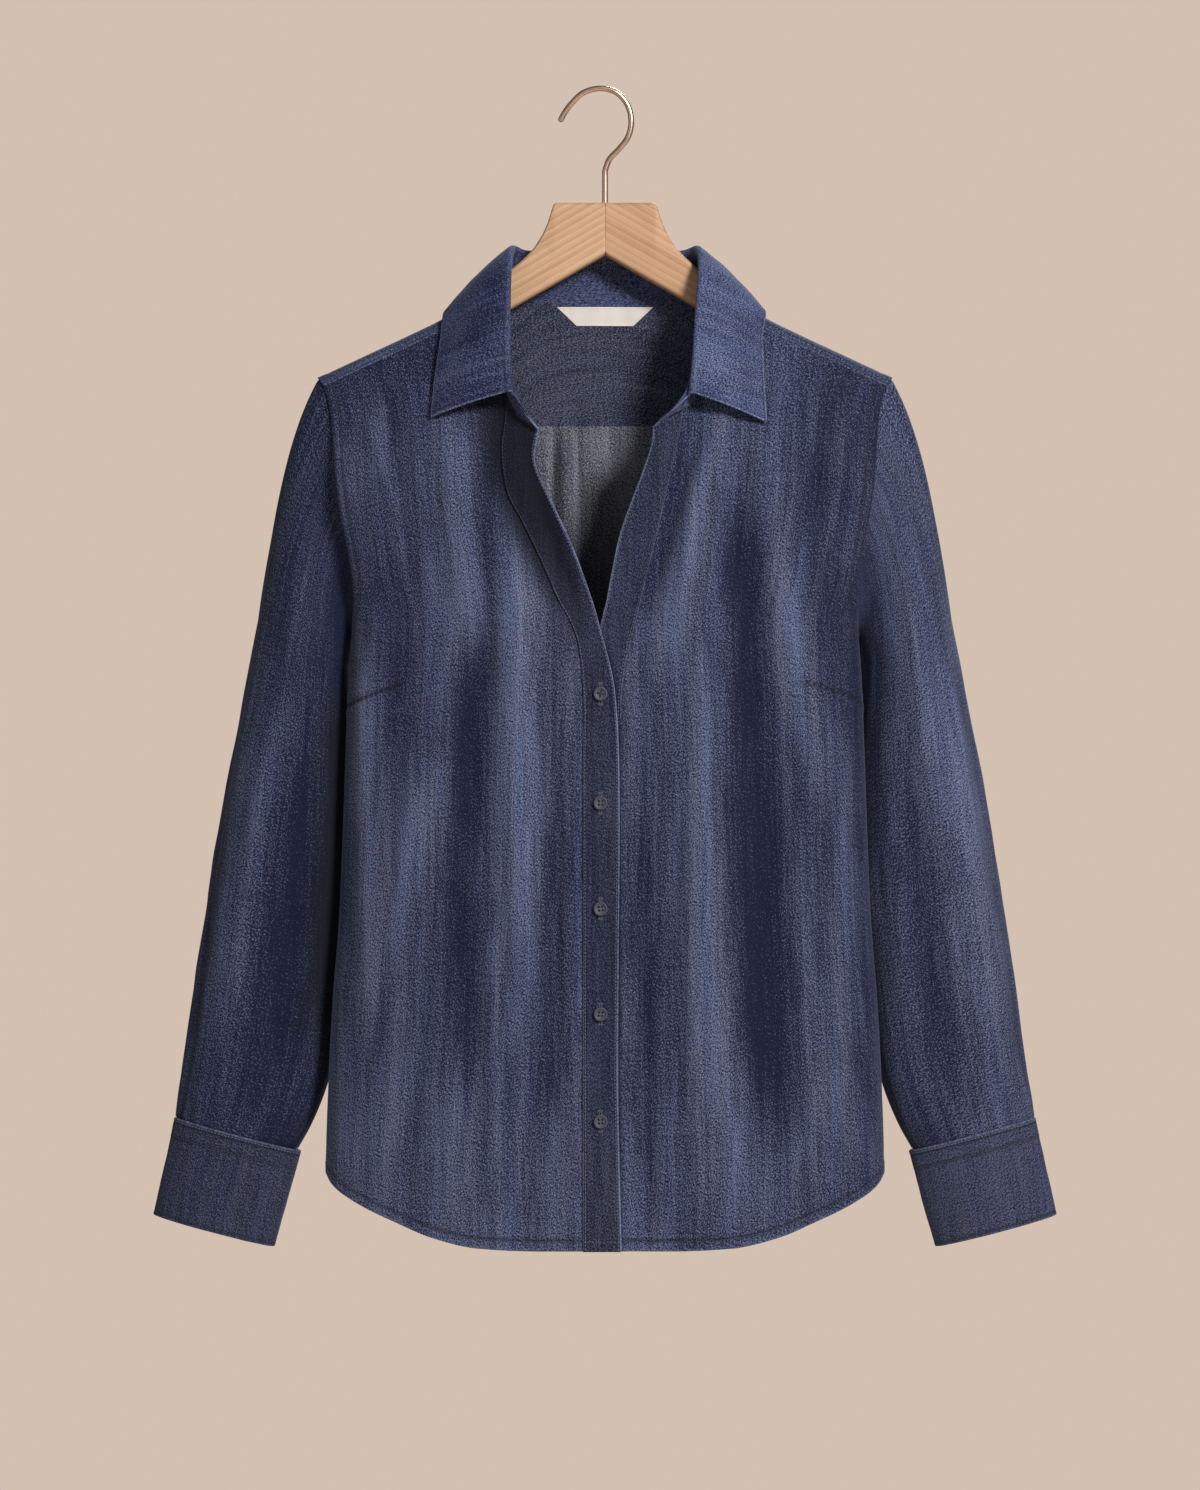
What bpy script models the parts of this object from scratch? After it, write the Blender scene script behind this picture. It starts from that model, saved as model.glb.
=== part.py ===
"""A denim-weight blouse on a contoured wooden hanger, modelled at real size in metres, +Z up.

The origin is the underside of the hook's top, where a rail or peg carries it. The wearer's front
faces -Y, so the wearer's right is at -X. Heights in the tables are measured from the same level,
and widths from the blouse's centre line, which hangs CENTRE_X to one side of the carrying point.
"""

import collections
import math

import bmesh
import bpy
import numpy as np
from mathutils import Matrix, Vector

# ---- driving dimensions -------------------------------------------------------------------------

CENTRE_X = 0.0036          # blouse's centre line, beside the carrying point
DATUM_Z = -0.0012          # the tables' zero height, below the origin
SEAM_GAP = 0.0003          # between pieces that are sewn together
EDGE_GAP = 0.0008          # the same where two curved edges meet in different steps
CLOTH = 0.0012             # wall of a single layer with its seam allowances
BAND_CLOTH = 0.0017        # wall of a folded front band
CUFF_CLOTH = 0.0022        # wall of an interlined cuff
COLLAR_CLOTH = 0.0016      # wall of an interlined collar piece

RIGHT, LEFT = -1, 1        # the wearer's sides, as signs of X
FRONT, BACK = -1, 1        # faces of the body, as signs of Y

RIDGE_RADIUS = 0.0115      # cloth's rounding over the hanger
FALL_DEPTH = 0.20          # height over which the body fills out below the hanger
BODY_POWER = 2.6           # superellipse power of the body's plan
SHOULDER_POWER = 10.0      # the same at the shoulder ends
ARMHOLE_SPREAD = 0.05      # share by which the plan runs on past the armhole edge
UNDERARM_Z = -0.385
YOKE_SEAM_Z = -0.241       # back yoke's seam
FORWARD_SEAM_DROP = 0.0085  # front yoke seam's height below the shoulder line

HANGER_THICKNESS = 0.014
HANGER_EDGE = 0.0055       # rounding of the hanger's edges
HANGER_TOP_Z = -0.0792
HANGER_APEX_Z = -0.1170    # peak of the hanger's lower edge
HANGER_LOWER_SLOPE = 0.5765
HANGER_SEAT = 0.0011       # between the hanger's top edge and the cloth's inside
WIRE_RADIUS = 0.0021
SHANK_DEPTH = 0.025        # hook's shank inside the wood
BORE_CLEARANCE = 0.0003

BUTTON_DIAMETER = 0.010
BUTTON_THICKNESS = 0.0022
BUTTON_HEIGHTS = (-0.4330, -0.5108, -0.5859, -0.6608, -0.7371)
BUTTON_X = -0.0032
CUFF_OVERLAP = 0.020
WRIST_RADIUS = 0.033
CUFF_START_DEG = -112      # the cuff's opening is at the back of the wrist

BAND_LOW_ROWS, BAND_HIGH_ROWS = 9, 10   # steps of a front's grid below and beside the open neck
OPEN_NECK_Z = -0.400
SHOULDER_STEPS = 6                      # steps of the front yoke seam
COLLAR_FRONT_STEPS, COLLAR_BACK_STEPS = 6, 4   # collar's steps before and after the shoulder
SHOULDER_TURNS = (-0.42, 0.0, 0.42, 0.90)      # its stations over the shoulder, in quarter turns
SLEEVE_AROUND, SLEEVE_STEPS = 24, 12    # points round a sleeve, and rings below its cap
PLACKET_COLUMNS = (7, 8, 9)             # grid columns under the sleeve's slit, counted from its outer side

# Half width of the body by height: the armhole edge above the underarm, the side seam below it.
HALF_WIDTH = (  # z, half_width
    (-0.2050, 0.2066), (-0.2123, 0.2017), (-0.2383, 0.1960), (-0.2786, 0.1930),
    (-0.3074, 0.1890), (-0.3362, 0.1832), (-0.3650, 0.1805), (-0.3850, 0.1820),
    (-0.4226, 0.1848), (-0.4802, 0.1870), (-0.5378, 0.1890), (-0.5954, 0.1915),
    (-0.6530, 0.1960), (-0.7100, 0.1990), (-0.7760, 0.2009), (-0.8300, 0.2009),
)
SHOULDER_LINE = (  # x, z of the ridge that the hanger's top edge carries
    (0.0000, -0.1000), (0.0400, -0.1060), (0.0620, -0.1220), (0.0785, -0.1335),
    (0.0950, -0.1470), (0.1140, -0.1610), (0.1400, -0.1740), (0.1700, -0.1880),
    (0.2066, -0.2050), (0.2200, -0.2110),
)
FULLNESS = {  # z, distance of the body's face from the hanger's plane
    FRONT: ((-0.10, 0.0440), (-0.30, 0.0470), (-0.45, 0.0500), (-0.60, 0.0550), (-0.83, 0.0600)),
    BACK: ((-0.10, 0.0250), (-0.25, 0.0280), (-0.40, 0.0310), (-0.60, 0.0360), (-0.83, 0.0400)),
}
HEM = (  # x, z of the curved shirt-tail hem
    (0.0000, -0.8290), (0.0500, -0.8290), (0.0900, -0.8272), (0.1230, -0.8200),
    (0.1500, -0.8090), (0.1780, -0.7960), (0.1960, -0.7835), (0.2009, -0.7760),
)
# Front bands: the free edge and the seam to the panel, from the neck seam down to the hem.
BAND = {
    RIGHT: (  # free_x, free_z, seam_x, seam_z
        (-0.0472, -0.2436, -0.0689, -0.2120), (-0.0500, -0.2560, -0.0712, -0.2380),
        (-0.0506, -0.2650, -0.0735, -0.2570), (-0.0470, -0.2780, -0.0700, -0.2870),
        (-0.0371, -0.2987, -0.0596, -0.3085), (-0.0283, -0.3175, -0.0505, -0.3270),
        (-0.0194, -0.3383, -0.0415, -0.3470), (-0.0122, -0.3586, -0.0335, -0.3650),
        (-0.0077, -0.3721, -0.0265, -0.3770), (-0.0033, -0.3881, -0.0205, -0.3910),
        (0.0004, -0.4015, -0.0180, -0.4030), (0.0055, -0.4230, -0.0158, -0.4240),
        (0.0080, -0.4460, -0.0150, -0.4460), (0.0095, -0.4800, -0.0155, -0.4800),
        (0.0097, -0.5500, -0.0155, -0.5500), (0.0090, -0.6250, -0.0155, -0.6250),
        (0.0085, -0.7000, -0.0155, -0.7000), (0.0095, -0.7600, -0.0155, -0.7600),
        (0.0112, -0.8290, -0.0155, -0.8290),
    ),
    LEFT: (
        (0.0345, -0.2431, 0.0558, -0.2268), (0.0335, -0.2540, 0.0535, -0.2440),
        (0.0274, -0.2736, 0.0489, -0.2648), (0.0205, -0.2920, 0.0437, -0.2868),
        (0.0114, -0.3175, 0.0378, -0.3140), (0.0055, -0.3442, 0.0304, -0.3440),
        (0.0011, -0.3677, 0.0240, -0.3710), (-0.0033, -0.3852, 0.0190, -0.3910),
        (-0.0079, -0.4080, 0.0138, -0.4130), (-0.0128, -0.4370, 0.0112, -0.4380),
        (-0.0148, -0.4700, 0.0108, -0.4700), (-0.0150, -0.5500, 0.0108, -0.5500),
        (-0.0150, -0.6250, 0.0108, -0.6250), (-0.0150, -0.7000, 0.0108, -0.7000),
        (-0.0150, -0.7600, 0.0108, -0.7600), (-0.0150, -0.8290, 0.0108, -0.8290),
    ),
}
# Largest folds of the body, as soft ridges (height above zero) and troughs along straight runs.
BODY_FOLDS = (  # face, x0, z0, x1, z1, half_width, height
    (FRONT, -0.112, -0.235, -0.098, -0.390, 0.013, 0.0045),
    (FRONT, -0.066, -0.350, -0.060, -0.640, 0.014, 0.0045),
    (FRONT, -0.132, -0.500, -0.165, -0.640, 0.015, 0.0040),
    (FRONT, -0.150, -0.350, -0.150, -0.470, 0.013, -0.0035),
    (FRONT, -0.095, -0.410, -0.100, -0.540, 0.013, -0.0050),
    (FRONT, -0.106, -0.560, -0.100, -0.700, 0.014, -0.0045),
    (FRONT, -0.035, -0.500, -0.042, -0.710, 0.011, -0.0035),
    (FRONT, 0.074, -0.250, 0.042, -0.400, 0.011, 0.0045),
    (FRONT, 0.068, -0.430, 0.068, -0.690, 0.014, 0.0050),
    (FRONT, 0.126, -0.350, 0.152, -0.500, 0.014, 0.0045),
    (FRONT, 0.170, -0.510, 0.168, -0.740, 0.014, 0.0040),
    (FRONT, 0.099, -0.320, 0.100, -0.450, 0.015, -0.0060),
    (FRONT, 0.108, -0.480, 0.116, -0.720, 0.018, -0.0060),
    (FRONT, 0.024, -0.540, 0.030, -0.790, 0.010, -0.0035),
    (BACK, -0.120, -0.270, -0.105, -0.700, 0.017, 0.0060),
    (BACK, -0.055, -0.300, -0.060, -0.780, 0.015, -0.0050),
    (BACK, 0.010, -0.260, 0.004, -0.740, 0.016, 0.0060),
    (BACK, 0.070, -0.330, 0.064, -0.800, 0.015, -0.0055),
    (BACK, 0.130, -0.290, 0.142, -0.690, 0.017, 0.0055),
)
V_LIFT = 0.0075            # how far the open neck's edges stand forward
V_LIFT_REACH = 0.014       # how far that lift runs into the panel
V_LIFT_TOP_Z = -0.190      # the lift is gone above this height
V_TROUGH = 0.0060          # hollow beside it
V_TROUGH_OFFSET = {RIGHT: 0.034, LEFT: 0.030}
UNDER_LAYER = 0.0013       # how far the left front lies below the right one at the centre
TOP_LAYER = 0.0009         # how far the right band lies above its panel

# Collar stations from the front end to the centre back: the neck seam on the body, the stand's top
# seam, the crest of the fold and the fall's outer edge.
COLLAR = {
    RIGHT: (  # neck_x, neck_z, top_x, top_y, top_z, crest_x, crest_y, crest_z, edge_x, edge_z, face
        (0.0472, -0.2436, 0.0650, -0.0480, -0.2195, 0.0664, -0.0530, -0.2172, 0.1231, -0.2354, FRONT),
        (0.0670, -0.2200, 0.0672, -0.0440, -0.1930, 0.0672, -0.0492, -0.1880, 0.1205, -0.2060, FRONT),
        (0.0745, -0.1880, 0.0684, -0.0330, -0.1620, 0.0668, -0.0378, -0.1555, 0.1170, -0.1780, FRONT),
    ),
    LEFT: (
        (0.0345, -0.2431, 0.0590, -0.0480, -0.2210, 0.0598, -0.0530, -0.2182, 0.1147, -0.2390, FRONT),
        (0.0605, -0.2230, 0.0622, -0.0440, -0.1940, 0.0618, -0.0492, -0.1890, 0.1130, -0.2080, FRONT),
        (0.0715, -0.1870, 0.0655, -0.0330, -0.1620, 0.0638, -0.0378, -0.1555, 0.1120, -0.1780, FRONT),
    ),
}
COLLAR_BACK = (
    (0.0790, -0.1560, 0.0690, -0.0180, -0.1325, 0.0655, -0.0200, -0.1262, 0.1130, -0.1610, FRONT),
    (0.0785, -0.1335, 0.0668, 0.0000, -0.1172, 0.0632, 0.0000, -0.1120, 0.1090, -0.1620, BACK),
    (0.0640, -0.1450, 0.0575, 0.0120, -0.1235, 0.0540, 0.0110, -0.1130, 0.0850, -0.1700, BACK),
    (0.0330, -0.1515, 0.0310, 0.0165, -0.1275, 0.0290, 0.0152, -0.1130, 0.0430, -0.1720, BACK),
    (0.0000, -0.1520, 0.0000, 0.0178, -0.1280, 0.0000, 0.0165, -0.1130, 0.0000, -0.1725, BACK),
)
STAND_LIFT = 0.0042        # how far the stand's foot comes forward on its way to the front end
ROLL_RADIUS = 0.0029       # fold of the fall over the stand
FALL_LIFT = 0.0045         # fall's outer edge above the body
FALL_BULGE = 0.0035        # belly of the fall between crest and edge

# Sleeve sections from the underarm to the cuff's seam, across the sleeve's own slanting axis.
SLEEVE = (  # outer_x, outer_z, inner_x, inner_z, centre_y, half_depth
    (0.2505, -0.3790, 0.1855, -0.4130, 0.0220, 0.0420),
    (0.2610, -0.4300, 0.1860, -0.4520, 0.0235, 0.0400),
    (0.2730, -0.4900, 0.1855, -0.5050, 0.0250, 0.0380),
    (0.2822, -0.5450, 0.1865, -0.5600, 0.0255, 0.0360),
    (0.2908, -0.6000, 0.1890, -0.6150, 0.0250, 0.0325),
    (0.2985, -0.6500, 0.1935, -0.6650, 0.0230, 0.0290),
    (0.3048, -0.6950, 0.2010, -0.7120, 0.0200, 0.0255),
    (0.3082, -0.7220, 0.2120, -0.7420, 0.0170, 0.0225),
    (0.3098, -0.7385, 0.2222, -0.7618, 0.0150, 0.0195),
)
CUFF = (
    (0.3101, -0.7390, 0.2224, -0.7623, 0.0150, 0.0195),
    (0.3152, -0.7620, 0.2285, -0.7850, 0.0145, 0.0205),
    (0.3205, -0.7850, 0.2345, -0.8080, 0.0140, 0.0210),
    (0.3252, -0.8076, 0.2412, -0.8300, 0.0135, 0.0205),
)
# Directions in which the sleeve leaves the armhole, outwards, forwards or back, and up.
SLEEVE_LEAVES = {"top": (0.070, 0.000, -0.115), "front": (0.042, 0.085, -0.035),
                 "under": (0.045, 0.010, -0.030), "back": (0.050, 0.045, -0.035)}
SLEEVE_FOLDS = (  # angle_deg, start, end, half_angle_deg, height: along the sleeve, 0 cap to 1 cuff
    (60.0, 0.20, 0.85, 22.0, 0.0035), (100.0, 0.30, 0.95, 18.0, -0.0040),
    (140.0, 0.45, 1.00, 20.0, 0.0030), (-50.0, 0.25, 0.80, 22.0, 0.0035),
    (-100.0, 0.35, 0.95, 20.0, -0.0040), (-145.0, 0.50, 1.00, 20.0, 0.0030),
)

HANGER_NECK = (  # x, z of the wood's top edge, from the middle to where the blouse covers it
    (0.0000, -0.0792), (0.0180, -0.0792), (0.0345, -0.0792), (0.0368, -0.0800), (0.0385, -0.0850),
    (0.0410, -0.0930), (0.0446, -0.1015), (0.0508, -0.1113), (0.0570, -0.1180), (0.0644, -0.1243),
)
HANGER_TIP = (  # x, top_z, bottom_z of the rounded end
    (0.1870, -0.1990, -0.2230), (0.1905, -0.2030, -0.2190), (0.1918, -0.2080, -0.2150),
)
HOOK = (  # x, z along the wire's centre line, from the shank's foot to the tip
    (0.0000, -0.1042), (0.0000, -0.0792), (0.0000, -0.0560), (0.0030, -0.0480),
    (0.0105, -0.0398), (0.0166, -0.0315), (0.0189, -0.0209), (0.0164, -0.0090),
    (0.0080, 0.0005), (-0.0036, 0.0033), (-0.0160, 0.0000), (-0.0245, -0.0080),
    (-0.0290, -0.0140), (-0.0317, -0.0190),
)
LABEL = (  # z, half_width of the trapezoid label under the neck seam
    (-0.1560, 0.0340), (-0.1690, 0.0205),
)

COLOURS = {  # base colour, roughness, metallic
    "chambray": ((0.055, 0.070, 0.150, 1.0), 0.90, 0.0),
    "wood": ((0.780, 0.590, 0.400, 1.0), 0.45, 0.0),
    "hook_metal": ((0.860, 0.700, 0.620, 1.0), 0.25, 1.0),
    "button": ((0.150, 0.150, 0.190, 1.0), 0.35, 0.0),
    "label": ((0.850, 0.830, 0.760, 1.0), 0.80, 0.0),
}

# ---- interpolation ------------------------------------------------------------------------------


def smooth_table(rows):
    """A smooth function through (t, value) rows that never overshoots them (monotone cubic)."""
    rows = sorted(rows)
    t = np.array([row[0] for row in rows])
    v = np.array([row[1] for row in rows])
    step = np.diff(t)
    slope = np.diff(v) / step
    tangent = np.zeros(len(t))
    tangent[0], tangent[-1] = slope[0], slope[-1]
    for i in range(1, len(t) - 1):
        if slope[i - 1] * slope[i] > 0:
            before, after = 2 * step[i] + step[i - 1], step[i] + 2 * step[i - 1]
            tangent[i] = (before + after) / (before / slope[i - 1] + after / slope[i])

    def value(at):
        at = min(max(at, t[0]), t[-1])
        i = min(int(np.searchsorted(t, at, side="right")) - 1, len(t) - 2)
        u = (at - t[i]) / step[i]
        return float(
            v[i] * (1 + 2 * u) * (1 - u) ** 2 + v[i + 1] * u * u * (3 - 2 * u)
            + step[i] * (tangent[i] * u * (1 - u) ** 2 - tangent[i + 1] * u * u * (1 - u))
        )

    return value


def spline(points, samples):
    """Points at even distances along a smooth curve through the given ones."""
    p = np.array(points, float)
    chord = np.concatenate([[0], np.cumsum(np.sqrt(np.linalg.norm(np.diff(p, axis=0), axis=1)))])
    axes = [open_curve(chord, p[:, k]) for k in range(p.shape[1])]
    fine = np.array([[axis(s) for axis in axes] for s in np.linspace(0, chord[-1], 12 * len(p))])
    run = np.concatenate([[0], np.cumsum(np.linalg.norm(np.diff(fine, axis=0), axis=1))])
    at = np.linspace(0, run[-1], samples) if np.isscalar(samples) else np.array(samples) * run[-1]
    return np.stack([np.interp(at, run, fine[:, k]) for k in range(p.shape[1])], axis=1)


def open_curve(t, v):
    """A Catmull-Rom curve through values at uneven stations."""
    tangent = np.gradient(v, t, edge_order=1)

    def value(at):
        i = min(max(int(np.searchsorted(t, at, side="right")) - 1, 0), len(t) - 2)
        step = t[i + 1] - t[i]
        u = (at - t[i]) / step
        return (v[i] * (1 + 2 * u) * (1 - u) ** 2 + v[i + 1] * u * u * (3 - 2 * u)
                + step * (tangent[i] * u * (1 - u) ** 2 - tangent[i + 1] * u * u * (1 - u)))

    return value


def ease(t):
    """0 below 0, 1 above 1, and a soft step between."""
    t = min(max(t, 0.0), 1.0)
    return t * t * (3 - 2 * t)


def unit(v):
    return v / np.linalg.norm(v)


half_width = smooth_table(HALF_WIDTH)
shoulder_z = smooth_table(SHOULDER_LINE)
hem_z = smooth_table(HEM)
fullness = {face: smooth_table(rows) for face, rows in FULLNESS.items()}
free_edge_x = {side: smooth_table([(row[1], row[0]) for row in rows]) for side, rows in BAND.items()}

# ---- the body's surface -------------------------------------------------------------------------


def reach(z):
    """Half width of the plan at a height, past the armhole edge where there is one."""
    return half_width(z) * (1 + ARMHOLE_SPREAD * ease((z - UNDERARM_Z) / 0.04))


def fold_height(x, z, face):
    """Sum of the body's folds at a place, each fading out at both ends of its run."""
    total = 0.0
    for on, x0, z0, x1, z1, width, height in BODY_FOLDS:
        if on != face:
            continue
        along = (z0 - z) / (z0 - z1)
        if -0.3 < along < 1.3:
            middle = x0 + (x1 - x0) * along
            fade = ease((along + 0.3) / 0.5) * ease((1.3 - along) / 0.5)
            total += height * fade * math.exp(-(((x - middle) / width) ** 2))
    return total


def neck_lift(x, z, side):
    """How far a front stands forward beside the open neck."""
    rise = ease((z + 0.400) / 0.10) * ease((V_LIFT_TOP_Z - z) / 0.05)
    inwards = abs(x - free_edge_x[side](z))
    hollow = (inwards - V_TROUGH_OFFSET[side]) / V_LIFT_REACH
    return rise * (V_LIFT * math.exp(-((inwards / V_LIFT_REACH) ** 2)) - V_TROUGH * math.exp(-hollow**2))


def depth(x, z, face, side=0):
    """Distance of the body's face from the hanger's plane."""
    share = min(abs(x) / reach(z), 1.0)
    drop = max(shoulder_z(abs(x)) - z, 0.0)
    power = BODY_POWER + (SHOULDER_POWER - BODY_POWER) * ease((z + 0.36) / 0.12)
    plan = (1 - share**BODY_POWER) ** (1 / BODY_POWER)
    rounding = math.sqrt(1 - (1 - min(drop / RIDGE_RADIUS, 1.0)) ** 2)
    filling = 1 - (1 - min(drop / FALL_DEPTH, 1.0)) ** 2
    found = RIDGE_RADIUS * rounding * (1 - share**power) ** (1 / power)
    found += (fullness[face](z) - RIDGE_RADIUS) * filling * plan
    found += fold_height(x, z, face) * plan * ease(drop / 0.05)
    if face == FRONT and side:
        found += neck_lift(x, z, side) * plan
        if side == LEFT:
            found -= UNDER_LAYER * ease((0.045 - x) / 0.03)
    return found


def body_point(x, z, face, side=0, out=0.0):
    """A point on the body's outside, moved out along the surface's normal."""
    def at(px, pz):
        return np.array([px, face * depth(px, pz, face, side), pz])

    point = at(x, z)
    if out:
        step = 0.002
        across = at(x + step, z) - at(x - step, z)
        up = at(x, z + step) - at(x, z - step)
        point = point + out * unit(np.cross(across, up)) * (1 if face == FRONT else -1)
    return point


def over_shoulder(x, w, side=0, out=0.0):
    """A point over the shoulder line, where w is 0. It grows down the back, and falls down the front."""
    face = BACK if w > 0 else FRONT
    return body_point(x, shoulder_z(abs(x)) - drop_of(w), face, side, out)


QUARTER_RUN = RIDGE_RADIUS * math.pi / 2   # length of one quarter turn over the shoulder line


def drop_of(w):
    """Height below the shoulder line after w quarter turns, which go on straight down past one."""
    turn = abs(w)
    if turn <= 1:
        return RIDGE_RADIUS * (1 - math.cos(turn * math.pi / 2))
    return RIDGE_RADIUS + (turn - 1) * QUARTER_RUN


def turn_of(drop):
    """The inverse of drop_of."""
    if drop <= RIDGE_RADIUS:
        return math.acos(1 - max(drop, 0) / RIDGE_RADIUS) * 2 / math.pi
    return 1 + (drop - RIDGE_RADIUS) / QUARTER_RUN


def armhole_x(w):
    """Half width of the armhole edge at w, where the edge's own height sets its width."""
    x = HALF_WIDTH[0][1]
    for _ in range(30):
        x = half_width(min(shoulder_z(x) - drop_of(w), HALF_WIDTH[0][0]))
    return x


def armhole_turn(z):
    """w of the armhole edge at a height."""
    return turn_of(shoulder_z(half_width(z)) - z)


# ---- meshes -------------------------------------------------------------------------------------


def clear_scene():
    for obj in list(bpy.data.objects):
        bpy.data.objects.remove(obj, do_unlink=True)


def new_collection(name):
    collection = bpy.data.collections.new(name)
    bpy.context.scene.collection.children.link(collection)
    return collection


def material_for(name):
    colour, roughness, metallic = COLOURS[name]
    made = bpy.data.materials.new(name)
    made.use_nodes = True
    shader = made.node_tree.nodes["Principled BSDF"]
    shader.inputs["Base Color"].default_value = colour
    shader.inputs["Roughness"].default_value = roughness
    shader.inputs["Metallic"].default_value = metallic
    made.diffuse_color = colour
    return made


def add_object(name, mesh, material, collection):
    obj = bpy.data.objects.new(name, mesh)
    obj.location = (CENTRE_X, 0.0, DATUM_Z)
    mesh.materials.append(material)
    collection.objects.link(obj)
    return obj


def grid_object(name, rows, thickness, material, collection, ring=False, flip=False):
    """A cloth wall on a grid of points that lie on its outside, or on its neck side for a collar."""
    points, index = [], {}
    for i, row in enumerate(rows):
        for j, point in enumerate(row):
            if point is not None:
                index[i, j] = len(points)
                points.append(tuple(point))
    across = len(rows[0])
    faces = []
    for i in range(len(rows) - 1):
        for j in range(across if ring else across - 1):
            k = (j + 1) % across
            corners = [index.get(at) for at in ((i, j), (i, k), (i + 1, k), (i + 1, j))]
            if None not in corners:
                faces.append(corners[::-1] if flip else corners)
    mesh = bpy.data.meshes.new(name)
    mesh.from_pydata(points, [], faces)
    mesh.shade_smooth()
    obj = add_object(name, mesh, material, collection)
    wall = obj.modifiers.new("Wall", "SOLIDIFY")
    wall.thickness = thickness
    wall.offset = -1
    return obj


def coons(bottom, top, start, end):
    """A grid between four edges, each an array of points: bottom and top run from start to end."""
    columns, rows = len(bottom), len(start)
    grid = []
    for i in range(rows):
        v = i / (rows - 1)
        line = []
        for j in range(columns):
            u = j / (columns - 1)
            corner = ((1 - u) * (1 - v) * bottom[0] + u * (1 - v) * bottom[-1]
                      + (1 - u) * v * top[0] + u * v * top[-1])
            line.append((1 - u) * start[i] + u * end[i] + (1 - v) * bottom[j] + v * top[j] - corner)
        grid.append(line)
    return grid


def plan_angle(x, z):
    """The plan's angle at a point, 0 at the centre and a quarter turn at the side seam."""
    return math.asin(max(-1.0, min(1.0, x / reach(z))))


def in_plan(points):
    return np.array([(plan_angle(x, z), z) for x, z in points])


FRONT_SEAM_W = -turn_of(FORWARD_SEAM_DROP)

# ---- fronts, back and yoke ----------------------------------------------------------------------


def even_run(points, samples):
    """Points at even distances along straight runs."""
    p = np.array(points, float)
    run = np.concatenate([[0], np.cumsum(np.linalg.norm(np.diff(p, axis=0), axis=1))])
    at = np.linspace(0, run[-1], samples)
    return np.stack([np.interp(at, run, p[:, k]) for k in range(p.shape[1])], axis=1)


def armhole_run(from_z, to_z):
    """(x, z) along the armhole edge between two heights."""
    return [(half_width(z), z) for z in np.linspace(from_z, to_z, 24)]


def outer_edge(low_rows, high_rows, top_z):
    """(x, z) up the side seam in low_rows steps, and up the armhole edge in high_rows more."""
    seam = [(half_width(z), z) for z in np.linspace(HEM[-1][1], UNDERARM_Z, low_rows + 1)]
    edge = even_run(armhole_run(UNDERARM_Z, top_z), high_rows + 1)
    return np.array(seam + [tuple(point) for point in edge[1:]])


def band_rows(side):
    """Rows of the band table from the hem up: even steps to the open neck, closer ones beside it."""
    fine = spline(BAND[side][::-1], 400)
    low = [fine[int(np.argmin(np.abs(fine[:, 3] - z)))]
           for z in np.linspace(BAND[side][-1][3], OPEN_NECK_Z, BAND_LOW_ROWS + 1)]
    high = fine[fine[:, 3] >= low[-1][3]]
    picks = np.linspace(0, len(high) - 1, BAND_HIGH_ROWS + 1).round().astype(int)
    return np.array(low + [high[i] for i in picks[1:]])


def neck_stations(side):
    """Collar stations of one side, from the front end to the centre back."""
    stations = collar_stations()
    return (stations if side == RIGHT else stations[::-1])[:len(stations) // 2 + 1]


def neck_edge(side):
    """(x, z) of the neck seam past the band's seam, at the collar's steps, up to the yoke seam."""
    start_z = BAND[side][0][3] + 0.004
    run = [np.array([s.neck_x, neck_height(s.neck_x, s.neck_w)]) for s in neck_stations(side)
           if s.neck_w < FRONT_SEAM_W + 0.01]
    return [point for point in run if point[1] > start_z]


def band_top(side):
    """(x, z) of the band's top edge on the neck seam: its free corner, its middle and its seam."""
    run = [np.array([s.neck_x, neck_height(s.neck_x, s.neck_w)]) for s in neck_stations(side)]
    run = [point for point in run if point[1] < BAND[side][0][3] + 0.03]
    end_z = BAND[side][0][3]
    xs, zs = [point[0] for point in run], [point[1] for point in run]
    heights = (run[0][1], (run[0][1] + end_z) / 2, end_z)
    return [np.array([np.interp(z, zs, xs), z]) for z in heights]


def build_front(side, material, collection, columns=13):
    """One front panel, from its band's seam to the side seam and from the hem to the yoke."""
    seam = band_rows(side)[:, 2:]
    seam[-1] = band_top(side)[-1]
    seam += (side * EDGE_GAP * 0.6, 0)
    neck = [point + (side * EDGE_GAP * 0.8, 0) for point in neck_edge(side)]
    seam_drop = FORWARD_SEAM_DROP + EDGE_GAP * 1.4
    neck[-1][1] = shoulder_z(abs(neck[-1][0])) - seam_drop
    inner = np.array(list(seam) + neck)
    top_z = shoulder_z(armhole_x(-turn_of(seam_drop))) - seam_drop
    outer = outer_edge(BAND_LOW_ROWS, len(inner) - 1 - BAND_LOW_ROWS, top_z) * (side, 1)
    share = np.linspace(0, 1, columns)
    low_x = inner[0][0] + (outer[0][0] - inner[0][0]) * np.sin(share * math.pi / 2)
    low = [(x, hem_z(abs(x))) for x in low_x]
    seam_x = np.linspace(inner[-1][0], outer[-1][0], SHOULDER_STEPS + 1)
    high = even_run([(x, shoulder_z(abs(x)) - seam_drop) for x in seam_x], columns)
    grid = coons(in_plan(low), in_plan(high), in_plan(inner), in_plan(outer))
    rows = [[body_point(reach(z) * math.sin(angle), z, FRONT, side) - (0, EDGE_GAP * 0.6, 0)
             for angle, z in line] for line in grid]
    name = "front_right" if side == RIGHT else "front_left"
    return grid_object(name, rows, CLOTH, material, collection, flip=(side == RIGHT))


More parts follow.
